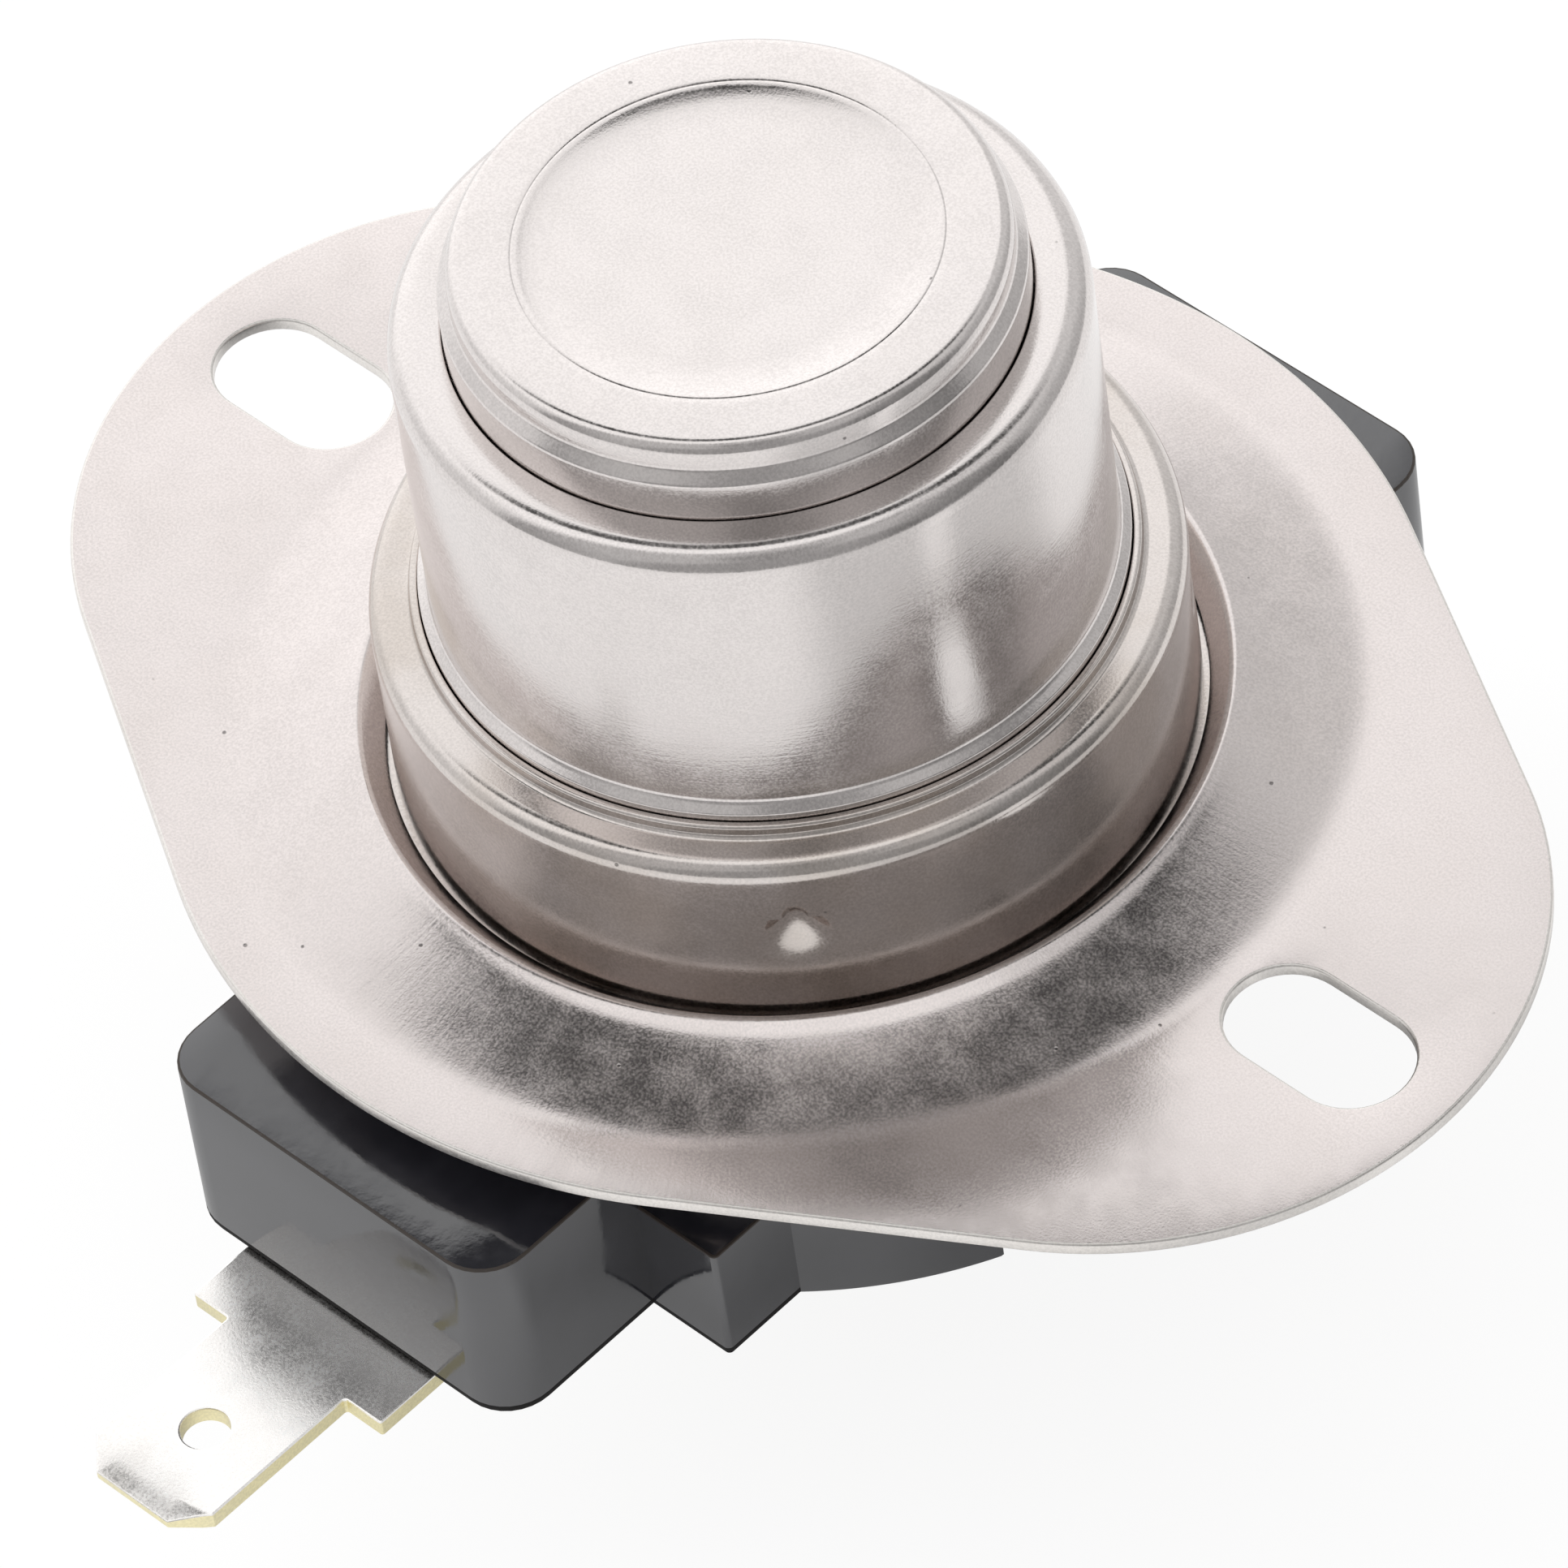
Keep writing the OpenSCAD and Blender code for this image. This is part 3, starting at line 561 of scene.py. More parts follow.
class THERMOSTAT_OT_flange(bpy.types.Operator):
    """Stamped flange with a raised hub, a rolled hole edge and two slots"""

    bl_idname = "thermostat.flange"
    bl_label = "Flange"

    def execute(self, context):
        s = context.scene.thermostat_shell
        t = s.flange_t
        top, under = self.hub_lines(s)
        bm = bmesh.new()
        steps = 256
        angles = [2 * math.pi * i / steps for i in range(steps)]
        profile = top[::-1] + under
        loops = [ring(bm, [(r * math.cos(a), r * math.sin(a)) for a in angles], z) for r, z in profile]
        for i in range(len(loops) - 1):
            bridge(bm, loops[i], loops[i + 1])
        soft = 0.12
        burr = 0.05
        rim = arc(soft, -soft, soft, 90, 180, 4) + arc(burr, burr - t, burr, 180, 270, 3)
        plans = [(flange_outline(s), 1)]
        plans += [(slot_outline(s, side * s.slot_pitch / 2), -1) for side in (-1, 1)]
        upper = []
        lower = []
        for plan, sign in plans:
            walls = [ring(bm, inset(plan, sign * d), z) for d, z in rim]
            for i in range(len(walls) - 1):
                bridge(bm, walls[i], walls[i + 1], 1)
            upper.append(walls[0])
            lower.append(walls[-1])
        cap(bm, upper[:1] + [loops[0]] + upper[1:])
        cap(bm, lower[:1] + [loops[-1]] + lower[1:])
        edge = steel("Sheared steel", (0.80, 0.77, 0.74, 1), 0.34, stain=0.1, lines=1.5)
        add_piece("flange", bm, [shell_steel(), edge], "mounting_flange")
        return {"FINISHED"}

    def hub_lines(self, s):
        """Upper and lower line of the hub: a bead by the collar, then a skirt that eases into the flat"""
        crest_r = s.hub_hole_r + 1.05
        crest_z = s.hub_rise + 0.33
        # The skirt ends just short of the slots
        edge_r = (s.slot_pitch - s.slot_len) / 2 - 0.3
        roll = 0.35
        top = [(s.hub_hole_r, crest_z - 1.0)] + arc(crest_r, crest_z - roll, roll, 138, 90, 8)
        # Tilt of the sheet in degrees by the distance from the crest, scaled below to the hub's height
        bends = [(0.0, 0), (0.12, 23), (0.35, 22), (0.8, 15.5), (1.5, 13.5), (2.1, 13.2), (3.1, 12.4),
                 (4.1, 11.3), (4.5, 10), (4.9, 7.5), (5.3, 3), (edge_r - crest_r, 0)]
        count = 72
        width = (edge_r - crest_r) / count
        slopes = [math.tan(math.radians(between(bends, width * i))) for i in range(count + 1)]
        drops = [0.0]
        for i in range(count):
            drops.append(drops[-1] + (slopes[i] + slopes[i + 1]) / 2 * width)
        share = crest_z / drops[-1]
        top += [(crest_r + width * i, crest_z - share * drops[i]) for i in range(1, count + 1)]
        under = []
        for i, (r, z) in enumerate(top):
            r1, z1 = top[max(i - 1, 0)]
            r2, z2 = top[min(i + 1, len(top) - 1)]
            length = math.hypot(r2 - r1, z2 - z1)
            thick = min(s.flange_t, 0.3 + 0.2 * max(0.0, r - crest_r))
            low = z - thick * (r2 - r1) / length
            # The collar's foot lies under this part of the sheet
            if r < s.collar_foot_r + 0.3:
                low = max(low, curl_tip_z(s))
            under.append((r + thick * (z2 - z1) / length, low))
        return top, under


class THERMOSTAT_OT_collar(bpy.types.Operator):
    """Drawn collar with an upturned lip at its hole and staked dimples in its wall"""

    bl_idname = "thermostat.collar"
    bl_label = "Collar"

    def execute(self, context):
        s = context.scene.thermostat_shell
        hole = s.collar_hole_r - 0.06
        lip = hole + 0.32
        top = s.collar_h
        tip_z = curl_tip_z(s)
        inner_r = s.collar_r - s.cup_t
        profile = rounded([
            (hole, top + s.collar_lip_h, 0.06), (lip, top + s.collar_lip_h, 0.14), (lip, top, 0.25),
            (s.collar_r, top, s.collar_bend_r), (s.collar_r, tip_z, 0.0), (s.collar_foot_r, tip_z, 0.1),
            (s.collar_foot_r, tip_z - s.cup_t, 0.1), (inner_r, tip_z - s.cup_t, 0.2),
            (inner_r, top - s.cup_t, 0.25), (hole, top - s.cup_t, 0.1)])
        profile = self.split_wall(profile)
        bm = bmesh.new()
        lathe(bm, profile, 600)
        for vert in bm.verts:
            self.stake(vert, s, inner_r)
        add_piece("collar", bm, [collar_steel()], "retaining_collar")
        return {"FINISHED"}

    def split_wall(self, profile):
        """Adds rows to the two upright walls, so that the stakes have points to press in"""
        rows = 44
        shortest = 3
        out = []
        count = len(profile)
        for i, (r, z) in enumerate(profile):
            out.append((r, z))
            r2, z2 = profile[(i + 1) % count]
            if abs(r2 - r) < 1e-6 and abs(z2 - z) > shortest:
                for k in range(1, rows):
                    out.append((r, z + (z2 - z) * k / rows))
        return out

    def stake(self, vert, s, inner_r):
        """Presses one point of the wall in where a punch met it: a scoop, steep above and long below"""
        x, y, z = (c / MM for c in vert.co)
        r = math.hypot(x, y)
        if r < inner_r - 0.05 or r > s.collar_r + 0.05 or not 1.5 < z < 7.0:
            return
        turn = 360.0 / s.stake_count
        off = (math.degrees(math.atan2(y, x)) - s.stake_angle + turn / 2) % turn - turn / 2
        u = math.radians(off) * s.collar_r
        v = z - s.stake_z
        deepest = 0.75
        below = 1.75
        above = 0.85
        if v < deepest:
            along = max(0.0, (v + below) / (deepest + below))
            width = 0.55 + 0.95 * math.sin(math.pi * min(1.0, max(0.0, (1.15 - v) / 2.9))) ** 0.8
        else:
            along = max(0.0, 1 - (v - deepest) / above)
            width = 0.3 + 0.25 * along
        down = along * along * (3 - 2 * along)
        across = max(0.0, 1 - (u / width) ** 2)
        halo = 0.06 * math.exp(-((u / 1.9) ** 2) - ((v - 0.2) / 1.9) ** 2)
        move = s.stake_depth * down * across ** 1.3 + halo
        vert.co.x -= move * MM * x / r
        vert.co.y -= move * MM * y / r


class THERMOSTAT_OT_cups(bpy.types.Operator):
    """Sensor sleeve and disc cup, drawn from sheet"""

    bl_idname = "thermostat.cups"
    bl_label = "Sleeve and disc cup"

    def execute(self, context):
        s = context.scene.thermostat_shell
        t = s.cup_t
        step_z = s.collar_h + s.collar_lip_h + 0.6
        lip_z = s.collar_h - t
        lip_r = s.collar_r - s.collar_bend_r
        hole = s.cap_foot_r + 0.05
        foot = s.sleeve_foot_r
        profile = rounded([
            (hole, s.sleeve_h, 0.09), (s.sleeve_r, s.sleeve_h, s.sleeve_bend_r + 0.35),
            (s.sleeve_r, step_z, 0.35), (foot, step_z - 0.3, 0.12), (foot, lip_z, 0.1),
            (lip_r, lip_z, 0.05), (lip_r, lip_z - t, 0.05),
            (foot - t, lip_z - t, 0.2), (foot - t, step_z - 0.6, 0.1), (s.sleeve_r - t, step_z - 0.25, 0.2),
            (s.sleeve_r - t, s.sleeve_h - t, 0.6), (hole, s.sleeve_h - t, 0.05)])
        bm = bmesh.new()
        lathe(bm, profile, 320)
        add_piece("sleeve", bm, [cup_steel()], "sensor_sleeve")
        self.disc_cup(s)
        return {"FINISHED"}

    def disc_cup(self, s):
        """The top cup, with a shallow recess in its face and a step at its foot"""
        t = s.cap_t
        blend_r = s.recess_blend_r
        sweep = math.acos(1 - s.recess_depth / blend_r)
        flat_r = s.recess_r - blend_r * math.sin(sweep)
        flat_z = s.cap_top - s.recess_depth
        turn = math.degrees(sweep)
        lip_z = s.sleeve_h - s.cup_t
        lip_r = s.sleeve_r - s.sleeve_bend_r
        step_z = s.cap_top - s.cap_bend_r - 0.15
        outer = [(0, flat_z)] + arc(flat_r, flat_z + blend_r, blend_r, -90, -90 + turn, 12)
        # A fine line runs round the recess
        line = s.recess_r + 0.11
        outer += [(line - 0.06, s.cap_top), (line, s.cap_top - 0.022), (line + 0.07, s.cap_top)]
        under = arc(flat_r, flat_z + blend_r, blend_r + t, -90 + turn, -90, 10) + [(0, flat_z - t)]
        wall = rounded([
            (s.recess_r + 0.4, s.cap_top, 0), (s.cap_r, s.cap_top, s.cap_bend_r), (s.cap_r, step_z, 0.25),
            (s.cap_foot_r, step_z - s.cap_foot_r + s.cap_r, 0.25), (s.cap_foot_r, lip_z, 0.12),
            (lip_r, lip_z, 0.05), (lip_r, lip_z - t, 0.05), (s.cap_foot_r - t, lip_z - t, 0.2),
            (s.cap_foot_r - t, step_z - 0.65, 0.15), (s.cap_r - t, step_z - 0.2, 0.15),
            (s.cap_r - t, s.cap_top - t, 0.6), (s.recess_r + 0.55, s.cap_top - t, 0)], 8)
        bm = bmesh.new()
        lathe(bm, outer + wall + under, 320)
        add_piece("disc_cup_shell", bm, [cup_steel()], "disc_cup", sharp=24)


class THERMOSTAT_OT_base(bpy.types.Operator):
    """Moulded base: round body with its cavity, wings and teeth"""

    bl_idname = "thermostat.base"
    bl_label = "Switch base"

    def execute(self, context):
        s = context.scene.thermostat_switch
        shell = context.scene.thermostat_shell
        groove = shell.collar_r - shell.cup_t - shell.stake_depth - 0.1
        low = shell.stake_z - 1.9
        high = shell.stake_z + 1.9
        cavity_r = 12.0
        seat_r = 13.1
        seat_z = s.neck_z - 3
        bm = bmesh.new()
        lathe(bm, rounded([
            (0, s.base_z, 0), (s.notch_r, s.base_z, 0.2), (s.notch_r, s.notch_z, 0.15),
            (s.body_r, s.notch_z, 0.1), (s.body_r, s.body_z, 0.2), (s.neck_r, s.body_z, 0.1),
            (s.neck_r, low, 0.1), (groove, low, 0.1), (groove, high, 0.1), (s.neck_r, high, 0.1),
            (s.neck_r, s.neck_z, 0.1), (seat_r, s.neck_z, 0.1), (seat_r, seat_z, 0.05),
            (cavity_r, seat_z, 0.05), (cavity_r, s.floor_z, 0.2), (0, s.floor_z, 0)], 4), 256)
        # Wings, teeth and rivet posts: half width, near and far end, top, bottom and corner radius.
        # The undersides lie a hair apart, so that no two share a plane
        blocks = [(s.wing_w / 2, 14.0, s.wing_len / 2, s.wing_z, s.base_z + 0.03, s.wing_corner_r),
                  (s.tooth_w / 2, 13.2, s.tooth_len / 2, s.tooth_z, s.base_z + 0.045, 0.25),
                  (s.rivet_x + s.rivet_head_r, 7.0, 12.3, s.arm_z, s.floor_z - 0.5, 0.05)]
        for side in (-1, 1):
            self.side(bm, s, side)
            for block in blocks:
                self.block(bm, side, *block)
        edge = moulded("Worn phenolic edge", (0.05, 0.038, 0.03, 1), 0.5, dust=0.3)
        # Painted shade: a very dark, dull phenolic for the blocks' feet, where each meets what lies under it
        painted_foot_shade = moulded("Dull phenolic", (0.012, 0.011, 0.011, 1), 0.7, dust=0.1, ior=1.3)
        add_piece("base", bm, [black_phenolic(), edge, painted_foot_shade], "switch_base", sharp=28)
        return {"FINISHED"}

    def side(self, bm, s, side):
        """Round side of the body below the notches' top, between the two notches"""
        inner_r = 13.5
        a = math.degrees(math.asin(s.notch_y / s.body_r))
        b = math.degrees(math.asin(s.notch_y / inner_r))
        plan = arc(0, 0, s.body_r, a, 180 - a, 96) + arc(0, 0, inner_r, 180 - b, b, 48)
        if side < 0:
            plan = half_turn(plan)
        levels = [(0.02, s.notch_z + 0.3), (0, s.notch_z + 0.2), (0, s.base_z + 0.2)]
        prism(bm, plan, levels + [(0.06, s.base_z + 0.06), (0.2, s.base_z + 0.015)])

    def block(self, bm, side, half, near, far, top, bottom, corner):
        """A rounded block on one side of the axis, with a worn top edge and a line of painted shade at its
        foot
        """
        plan = rounded([(half, near, 0), (half, far, corner), (-half, far, corner), (-half, near, 0)], 8)
        if side < 0:
            plan = half_turn(plan)
        wear = 0.09
        levels = [(wear * 1.2, top), (wear * 0.3, top - wear * 0.35), (0, top - wear)]
        levels += [(0, bottom + 0.38), (0, bottom + 0.15), (0.05, bottom + 0.04), (0.15, bottom)]
        # The top bands take the worn edge, the foot bands the painted shade
        prism(bm, plan, levels, bands=[1, 1, 0, 2, 2, 2])


class THERMOSTAT_OT_terminals(bpy.types.Operator):
    """Tinned spade terminals with bare brass edges"""

    bl_idname = "thermostat.terminals"
    bl_label = "Terminals"

    def execute(self, context):
        s = context.scene.thermostat_switch
        face = steel("Tinned face", (0.96, 0.94, 0.92, 1), 0.25, stain=0.2, lines=0.2,
                     stain_colour=(0.66, 0.60, 0.54, 1), depth=0.004)
        edge = steel("Bare brass", (0.86, 0.79, 0.50, 1), 0.38, stain=0.3, lines=0.4,
                     stain_colour=(0.75, 0.72, 0.60, 1))
        bm = bmesh.new()
        self.blade(bm, s)
        add_piece("spade_front", bm, [face, edge], "terminal_front", sharp=20)
        bm = bmesh.new()
        self.blade(bm, s)
        self.bend(bm, s)
        bmesh.ops.rotate(bm, verts=bm.verts, cent=(0, 0, 0), matrix=Matrix.Rotation(math.pi, 3, "Z"))
        add_piece("spade_rear", bm, [face, edge], "terminal_rear", sharp=20)
        return {"FINISHED"}

    def blade(self, bm, s):
        """One straight terminal with its tab along -Y"""
        x = -s.terminal_shift
        w = s.tab_w / 2
        h = s.shoulder_w / 2
        wing = -s.wing_len / 2
        end = wing - s.tab_out
        neck = wing - s.shoulder_out
        bevel = 1.25
        tip = 0.95
        thinned = 0.55
        hole_y = end + 4
        plan = rounded([
            (x - h, -s.tail_y, 0.2), (x - h, neck, 0.12), (x - w, neck, 0.15),
            (x - w, end + bevel, 0.1), (x - w + bevel, end, 0.12), (x + w - bevel, end, 0.12),
            (x + w, end + bevel, 0.1), (x + w, neck, 0.15), (x + h, neck, 0.12),
            (x + h, -s.tail_y, 0.2)], 4)
        holes = [circle(x, hole_y, s.tab_hole_d / 2, 48)]
        holes += [circle(k * s.rivet_x, -s.rivet_y, s.rivet_r, 32) for k in (-1, 1)]
        top = s.base_z
        low = top - s.tab_t
        levels = [(0.07, top), (0.02, top - 0.02), (0, top - 0.07), (0, low + 0.05), (0.04, low)]
        prism(bm, plan, levels, holes, bands=[0, 0, 1, 1])
        # The tip thins towards its end
        start = (end + tip) * MM
        cut(bm, start)
        middle = (top + low) / 2 * MM
        for vert in bm.verts:
            if vert.co.y < start - 1e-9:
                share = (start - vert.co.y) / (tip * MM)
                vert.co.z = middle + (vert.co.z - middle) * (1 - thinned * share)

    def bend(self, bm, s):
        """Turns the tab of a straight terminal down past the end of the wing"""
        start = -s.wing_len / 2 - s.bend_out
        middle_r = s.bend_r + s.tab_t / 2
        length = middle_r * math.pi / 2
        pieces = 12
        for k in range(pieces + 1):
            cut(bm, (start - length * k / pieces) * MM)
        middle_z = s.base_z - s.tab_t / 2
        for vert in bm.verts:
            on = start - vert.co.y / MM
            if on <= 0:
                continue
            r = middle_r + vert.co.z / MM - middle_z
            turn = min(on / length, 1.0) * math.pi / 2
            down = max(0.0, on - length)
            vert.co.y = (start - r * math.sin(turn)) * MM
            vert.co.z = (middle_z - middle_r + r * math.cos(turn) - down) * MM


class THERMOSTAT_OT_rivets(bpy.types.Operator):
    """Rivets that join each terminal to the strip above it"""

    bl_idname = "thermostat.rivets"
    bl_label = "Rivets"

    def execute(self, context):
        s = context.scene.thermostat_switch
        brass = steel("Rivet brass", (0.78, 0.66, 0.38, 1), 0.32, stain=0.4, lines=0.2)
        low = s.base_z - s.tab_t
        for side, strip, label in ((-1, 0.3, "arm"), (1, 0.6, "bracket")):
            top = s.arm_z + strip
            for k, hand in ((-1, "left"), (1, "right")):
                bm = bmesh.new()
                r = s.rivet_head_r
                lathe(bm, rounded([
                    (0, low - 0.7, 0), (r - 0.35, low - 0.7, 0.2), (r, low - 0.1, 0.2), (r, low, 0.03),
                    (s.rivet_r, low, 0), (s.rivet_r, top, 0), (r - 0.2, top, 0.05),
                    (r - 0.5, top + 0.6, 0.15), (0.5, top + 0.6, 0.1), (0.3, top + 0.4, 0.1),
                    (0, top + 0.4, 0)], 5), 64)
                place = (k * s.rivet_x * MM, side * s.rivet_y * MM, 0)
                bmesh.ops.translate(bm, verts=bm.verts, vec=place)
                name = "%s_rivet_%s" % (label, hand)
                add_piece("turned_" + name, bm, [brass], name)
        return {"FINISHED"}


class THERMOSTAT_OT_works(bpy.types.Operator):
    """Disc and contact arm, and finishes for the other inner pieces"""

    bl_idname = "thermostat.works"
    bl_label = "Inner works"

    def execute(self, context):
        s = context.scene.thermostat_switch
        self.disc()
        self.arm(s)
        silver = steel("Silver alloy", (0.86, 0.86, 0.84, 1), 0.28, stain=0.1, lines=0.1)
        strip = steel("Brass strip", (0.78, 0.64, 0.34, 1), 0.3, stain=0.3)
        phenolic = moulded("Brown phenolic", (0.10, 0.045, 0.022, 1), 0.38, dust=0.15)
        cream = moulded("Cream insulator", (0.70, 0.64, 0.52, 1), 0.55, dust=0.1,
                        dust_colour=(0.5, 0.45, 0.36, 1))
        ceramic = moulded("Ground ceramic", (0.84, 0.82, 0.76, 1), 0.45, dust=0.08,
                          dust_colour=(0.6, 0.58, 0.5, 1))
        finishes = {"moving_contact": silver, "fixed_contact": silver, "contact_bracket": strip,
                    "pin_guide": phenolic, "cavity_cover": phenolic, "spacer_tube": cream,
                    "transfer_pin": ceramic}
        for node, material in finishes.items():
            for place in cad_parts[node].material_slots:
                place.material = material
        return {"FINISHED"}

    def disc(self):
        """The dished disc, sized from its CAD box"""
        low, high = (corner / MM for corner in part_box("bimetal_disc"))
        r = high.x
        t = 0.3
        rise = high.z - low.z - t
        dish = (r * r + rise * rise) / (2 * rise)
        half = math.asin(r / dish)
        steps = 24
        line = []
        for i in range(steps + 1):
            a = half * i / steps
            line.append((dish * math.sin(a), low.z + rise - dish + dish * math.cos(a)))
        bm = bmesh.new()
        lathe(bm, [(x, z + t) for x, z in line] + line[::-1], 128)
        tone = steel("Bimetal", (0.66, 0.58, 0.42, 1), 0.3, stain=0.3, lines=0.6)
        obj = add_piece("snap_disc", bm, [tone], "bimetal_disc")
        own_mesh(obj)

    def arm(self, s):
        """The spring blade, cut across where its clamp ends"""
        low, high = (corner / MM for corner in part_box("contact_arm"))
        root = high.x
        clamp_y = -7.0
        blade_y = clamp_y + 2.5
        w = 2.5
        contact_y = 5.2
        plan = rounded([
            (root, low.y, 0.3), (root, clamp_y, 0.6), (w, blade_y, 1.0), (w, high.y, 0.9), (-w, high.y, 0.9),
            (-w, blade_y, 1.0), (-root, clamp_y, 0.6), (-root, low.y, 0.3)], 4)
        holes = [circle(k * s.rivet_x, -s.rivet_y, s.rivet_r, 24) for k in (-1, 1)]
        holes.append(circle(0, contact_y, 0.7, 24))
        bm = bmesh.new()
        prism(bm, plan, [(0.03, high.z), (0, high.z - 0.03), (0, low.z + 0.03), (0.03, low.z)], holes)
        for k in range(8):
            cut(bm, (clamp_y + 0.3 * k) * MM)
        copper = steel("Spring copper", (0.74, 0.48, 0.24, 1), 0.28, stain=0.3, lines=0.2)
        obj = add_piece("spring_arm", bm, [copper], "contact_arm", body=None)
        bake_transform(obj)


class THERMOSTAT_OT_stage(bpy.types.Operator):
    """Camera of the photograph, pale floor and soft light"""

    bl_idname = "thermostat.stage"
    bl_label = "Stage"

    def execute(self, context):
        self.camera(context)
        self.floor()
        self.world(context)
        context.scene.view_settings.view_transform = "Standard"
        return {"FINISHED"}

    def camera(self, context):
        """The photograph's camera, fitted to the round edges, the outline and the slots"""
        az = math.radians(-40.190)
        el = math.radians(48.379)
        roll = math.radians(-8.613)
        aside = -0.970
        raised = -3.075
        distance = 491.074
        focal_pixels = 15805
        forward = -Vector((math.cos(el) * math.cos(az), math.cos(el) * math.sin(az), math.sin(el)))
        right = Vector((-math.sin(az), math.cos(az), 0))
        up = right.cross(forward)
        place = right * aside + up * raised - forward * distance
        x = right * math.cos(roll) + up * math.sin(roll)
        y = up * math.cos(roll) - right * math.sin(roll)
        data = bpy.data.cameras.new("camera")
        data.sensor_width = 36
        data.lens = data.sensor_width * focal_pixels / PHOTO_SIZE
        data.clip_start = 0.01
        data.clip_end = 10
        obj = bpy.data.objects.new("camera", data)
        context.scene.collection.objects.link(obj)
        obj.matrix_world = Matrix.Translation(place * MM) @ Matrix((x, y, -forward)).transposed().to_4x4()
        context.scene.camera = obj

    def floor(self):
        """A white floor that keeps a soft shadow, with painted shadow in its glow where metal mirrors it:
        dimmer near the object and under the flange's right lobe, with a painted streak of light in line with
        the right slot
        """
        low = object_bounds()[0].z
        bm = bmesh.new()
        bmesh.ops.create_grid(bm, x_segments=8, y_segments=8, size=1.2)
        bmesh.ops.translate(bm, verts=bm.verts, vec=(0, 0, low))
        mesh = bpy.data.meshes.new("floor")
        bm.to_mesh(mesh)
        bm.free()
        obj = bpy.data.objects.new("floor", mesh)
        bpy.context.scene.collection.objects.link(obj)
        made, tree, shader = start_material("White floor")
        shader.inputs["Base Color"].default_value = (0.9, 0.9, 0.9, 1)
        shader.inputs["Roughness"].default_value = 0.9
        where = new_node(tree, "ShaderNodeGroup", {"node_tree": wrap_group()}).outputs
        rays = new_node(tree, "ShaderNodeLightPath").outputs
        # Painted shadow: in what metal mirrors, the floor glows dimmer near the object
        near = ramp(tree, where["Radius"], 15.0, 50.0, 0.45, 1.12)
        # Painted shadow under the flange's right lobe, with a narrow painted streak of light in line with
        # its slot
        turned = maths(tree, "ABSOLUTE", maths(tree, "SUBTRACT", where["Angle"], 0.1))
        painted_lobe_shadow = maths(tree, "MAXIMUM", ramp(tree, turned, 0.04, 0.12, 1.0, 0.7),
                           ramp(tree, turned, 0.5, 0.85, 0.7, 1.0))
        level = maths(tree, "MAXIMUM", times(tree, near, painted_lobe_shadow),
                      times(tree, rays["Is Camera Ray"], 1.12))
        glow = new_node(tree, "ShaderNodeEmission", Color=level, Strength=1.0)
        share = maths(tree, "MAXIMUM", times(tree, rays["Is Camera Ray"], 0.78),
                      times(tree, rays["Is Glossy Ray"], 0.85))
        blend = new_node(tree, "ShaderNodeMixShader", i0=share, i1=shader.outputs[0], i2=glow.outputs[0])
        tree.links.new(blend.outputs[0], tree.nodes["Material Output"].inputs["Surface"])
        mesh.materials.append(made)
        obj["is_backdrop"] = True

    def world(self, context):
        """A soft studio: bright above and behind, dimmer by the camera, white to the camera itself"""
        world = bpy.data.worlds.new("studio")
        context.scene.world = world
        world.use_nodes = True
        tree = world.node_tree
        tree.nodes.clear()
        way = new_node(tree, "ShaderNodeTexCoord").outputs["Generated"]
        rise = new_node(tree, "ShaderNodeSeparateXYZ", i0=way).outputs[2]
        right = self.part_along(tree, way, (0.645, 0.764, 0.0))
        across = maths(tree, "ABSOLUTE", right)
        toward = self.part_along(tree, way, (0.764, -0.645, 0.0))
        near = times(tree, ramp(tree, toward, 0.07, 0.25, 1.3, 0.56),
                     ramp(tree, toward, 0.66, 0.76, 1.0, 0.65))
        edges = ramp(tree, across, 0.6, 0.95, 1.0, 0.7)
        front = times(tree, ramp(tree, toward, 0.1, 0.3), ramp(tree, right, 0.4, 0.65, 1.15, 0.6))
        side = maths(tree, "MAXIMUM", front, ramp(tree, right, 0.18, 0.34, 1.0, 0.62))
        far = ramp(tree, toward, -0.95, -0.6, 1.1, 0.95)
        # A dark gap overhead, between the back light and the top light
        gap = length_of(tree, maths(tree, "DIVIDE", maths(tree, "ADD", toward, 0.315), 0.15),
                        maths(tree, "DIVIDE", across, 0.56))
        gap = maths(tree, "MAXIMUM", ramp(tree, gap, 0.8, 1.1, 0.06, 1.0),
                    ramp(tree, rise, 0.3, 0.5, 1.0, 0.0))
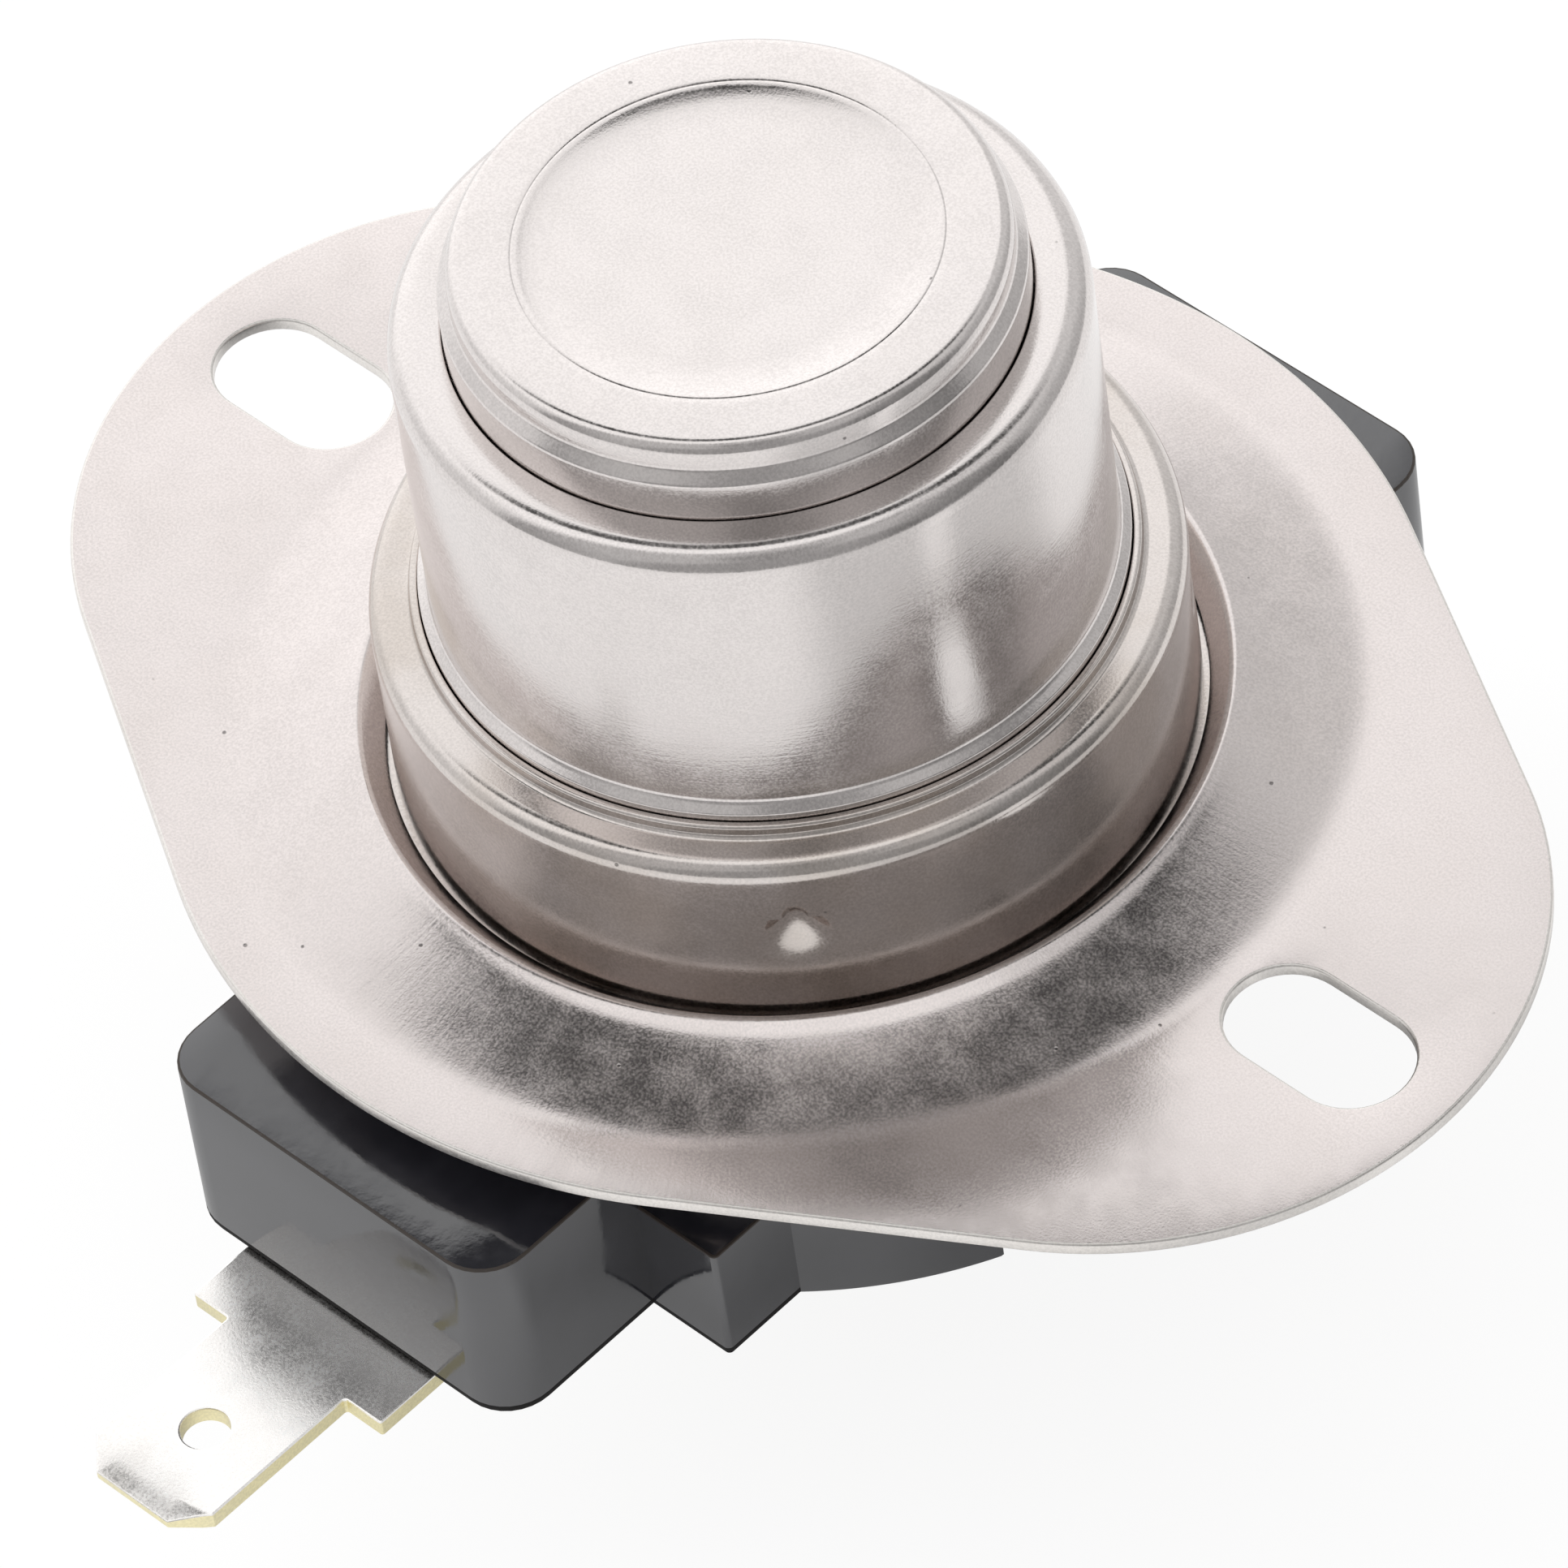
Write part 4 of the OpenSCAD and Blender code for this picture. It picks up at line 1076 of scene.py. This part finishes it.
        # A dim spot above the lens
        lens = ramp(tree, self.part_along(tree, way, (0.438, -0.370, 0.819)), 0.962, 0.992, 1.0, 0.6)
        light = times(tree, near, edges, side, far, gap, lens)
        rays = new_node(tree, "ShaderNodeLightPath").outputs
        level = maths(tree, "MAXIMUM", light, rays["Is Camera Ray"])
        back = new_node(tree, "ShaderNodeBackground", Color=(1, 1, 1, 1), Strength=level)
        new_node(tree, "ShaderNodeOutputWorld", Surface=back.outputs[0])

    def part_along(self, tree, way, axis):
        """How far a direction runs along an axis"""
        made = new_node(tree, "ShaderNodeVectorMath", {"operation": "DOT_PRODUCT"}, i0=way, i1=axis)
        return made.outputs["Value"]


class THERMOSTAT_PT_panel(bpy.types.Panel):
    """Sidebar panel with the sizes and one button for each step"""

    bl_idname = "THERMOSTAT_PT_panel"
    bl_label = "Bimetal Thermostat"
    bl_space_type = "VIEW_3D"
    bl_region_type = "UI"
    bl_category = "Thermostat"

    def draw(self, context):
        for sizes in (context.scene.thermostat_shell, context.scene.thermostat_switch):
            box = self.layout.box()
            for key in sizes.__annotations__:
                box.prop(sizes, key)
        for step in STEPS:
            self.layout.operator(step.bl_idname)


STEPS = (THERMOSTAT_OT_stage, THERMOSTAT_OT_flange, THERMOSTAT_OT_collar, THERMOSTAT_OT_cups,
         THERMOSTAT_OT_base, THERMOSTAT_OT_terminals, THERMOSTAT_OT_rivets, THERMOSTAT_OT_works)
CLASSES = (ShellSizes, SwitchSizes) + STEPS + (THERMOSTAT_PT_panel,)


def register():
    for cls in CLASSES:
        bpy.utils.register_class(cls)
    bpy.types.Scene.thermostat_shell = PointerProperty(type=ShellSizes)
    bpy.types.Scene.thermostat_switch = PointerProperty(type=SwitchSizes)


def unregister():
    del bpy.types.Scene.thermostat_switch
    del bpy.types.Scene.thermostat_shell
    for cls in reversed(CLASSES):
        bpy.utils.unregister_class(cls)


def main():
    register()
    bpy.ops.thermostat.stage()
    bpy.ops.thermostat.flange()
    bpy.ops.thermostat.collar()
    bpy.ops.thermostat.cups()
    bpy.ops.thermostat.base()
    bpy.ops.thermostat.terminals()
    bpy.ops.thermostat.rivets()
    bpy.ops.thermostat.works()


if __name__ == "__main__":
    main()
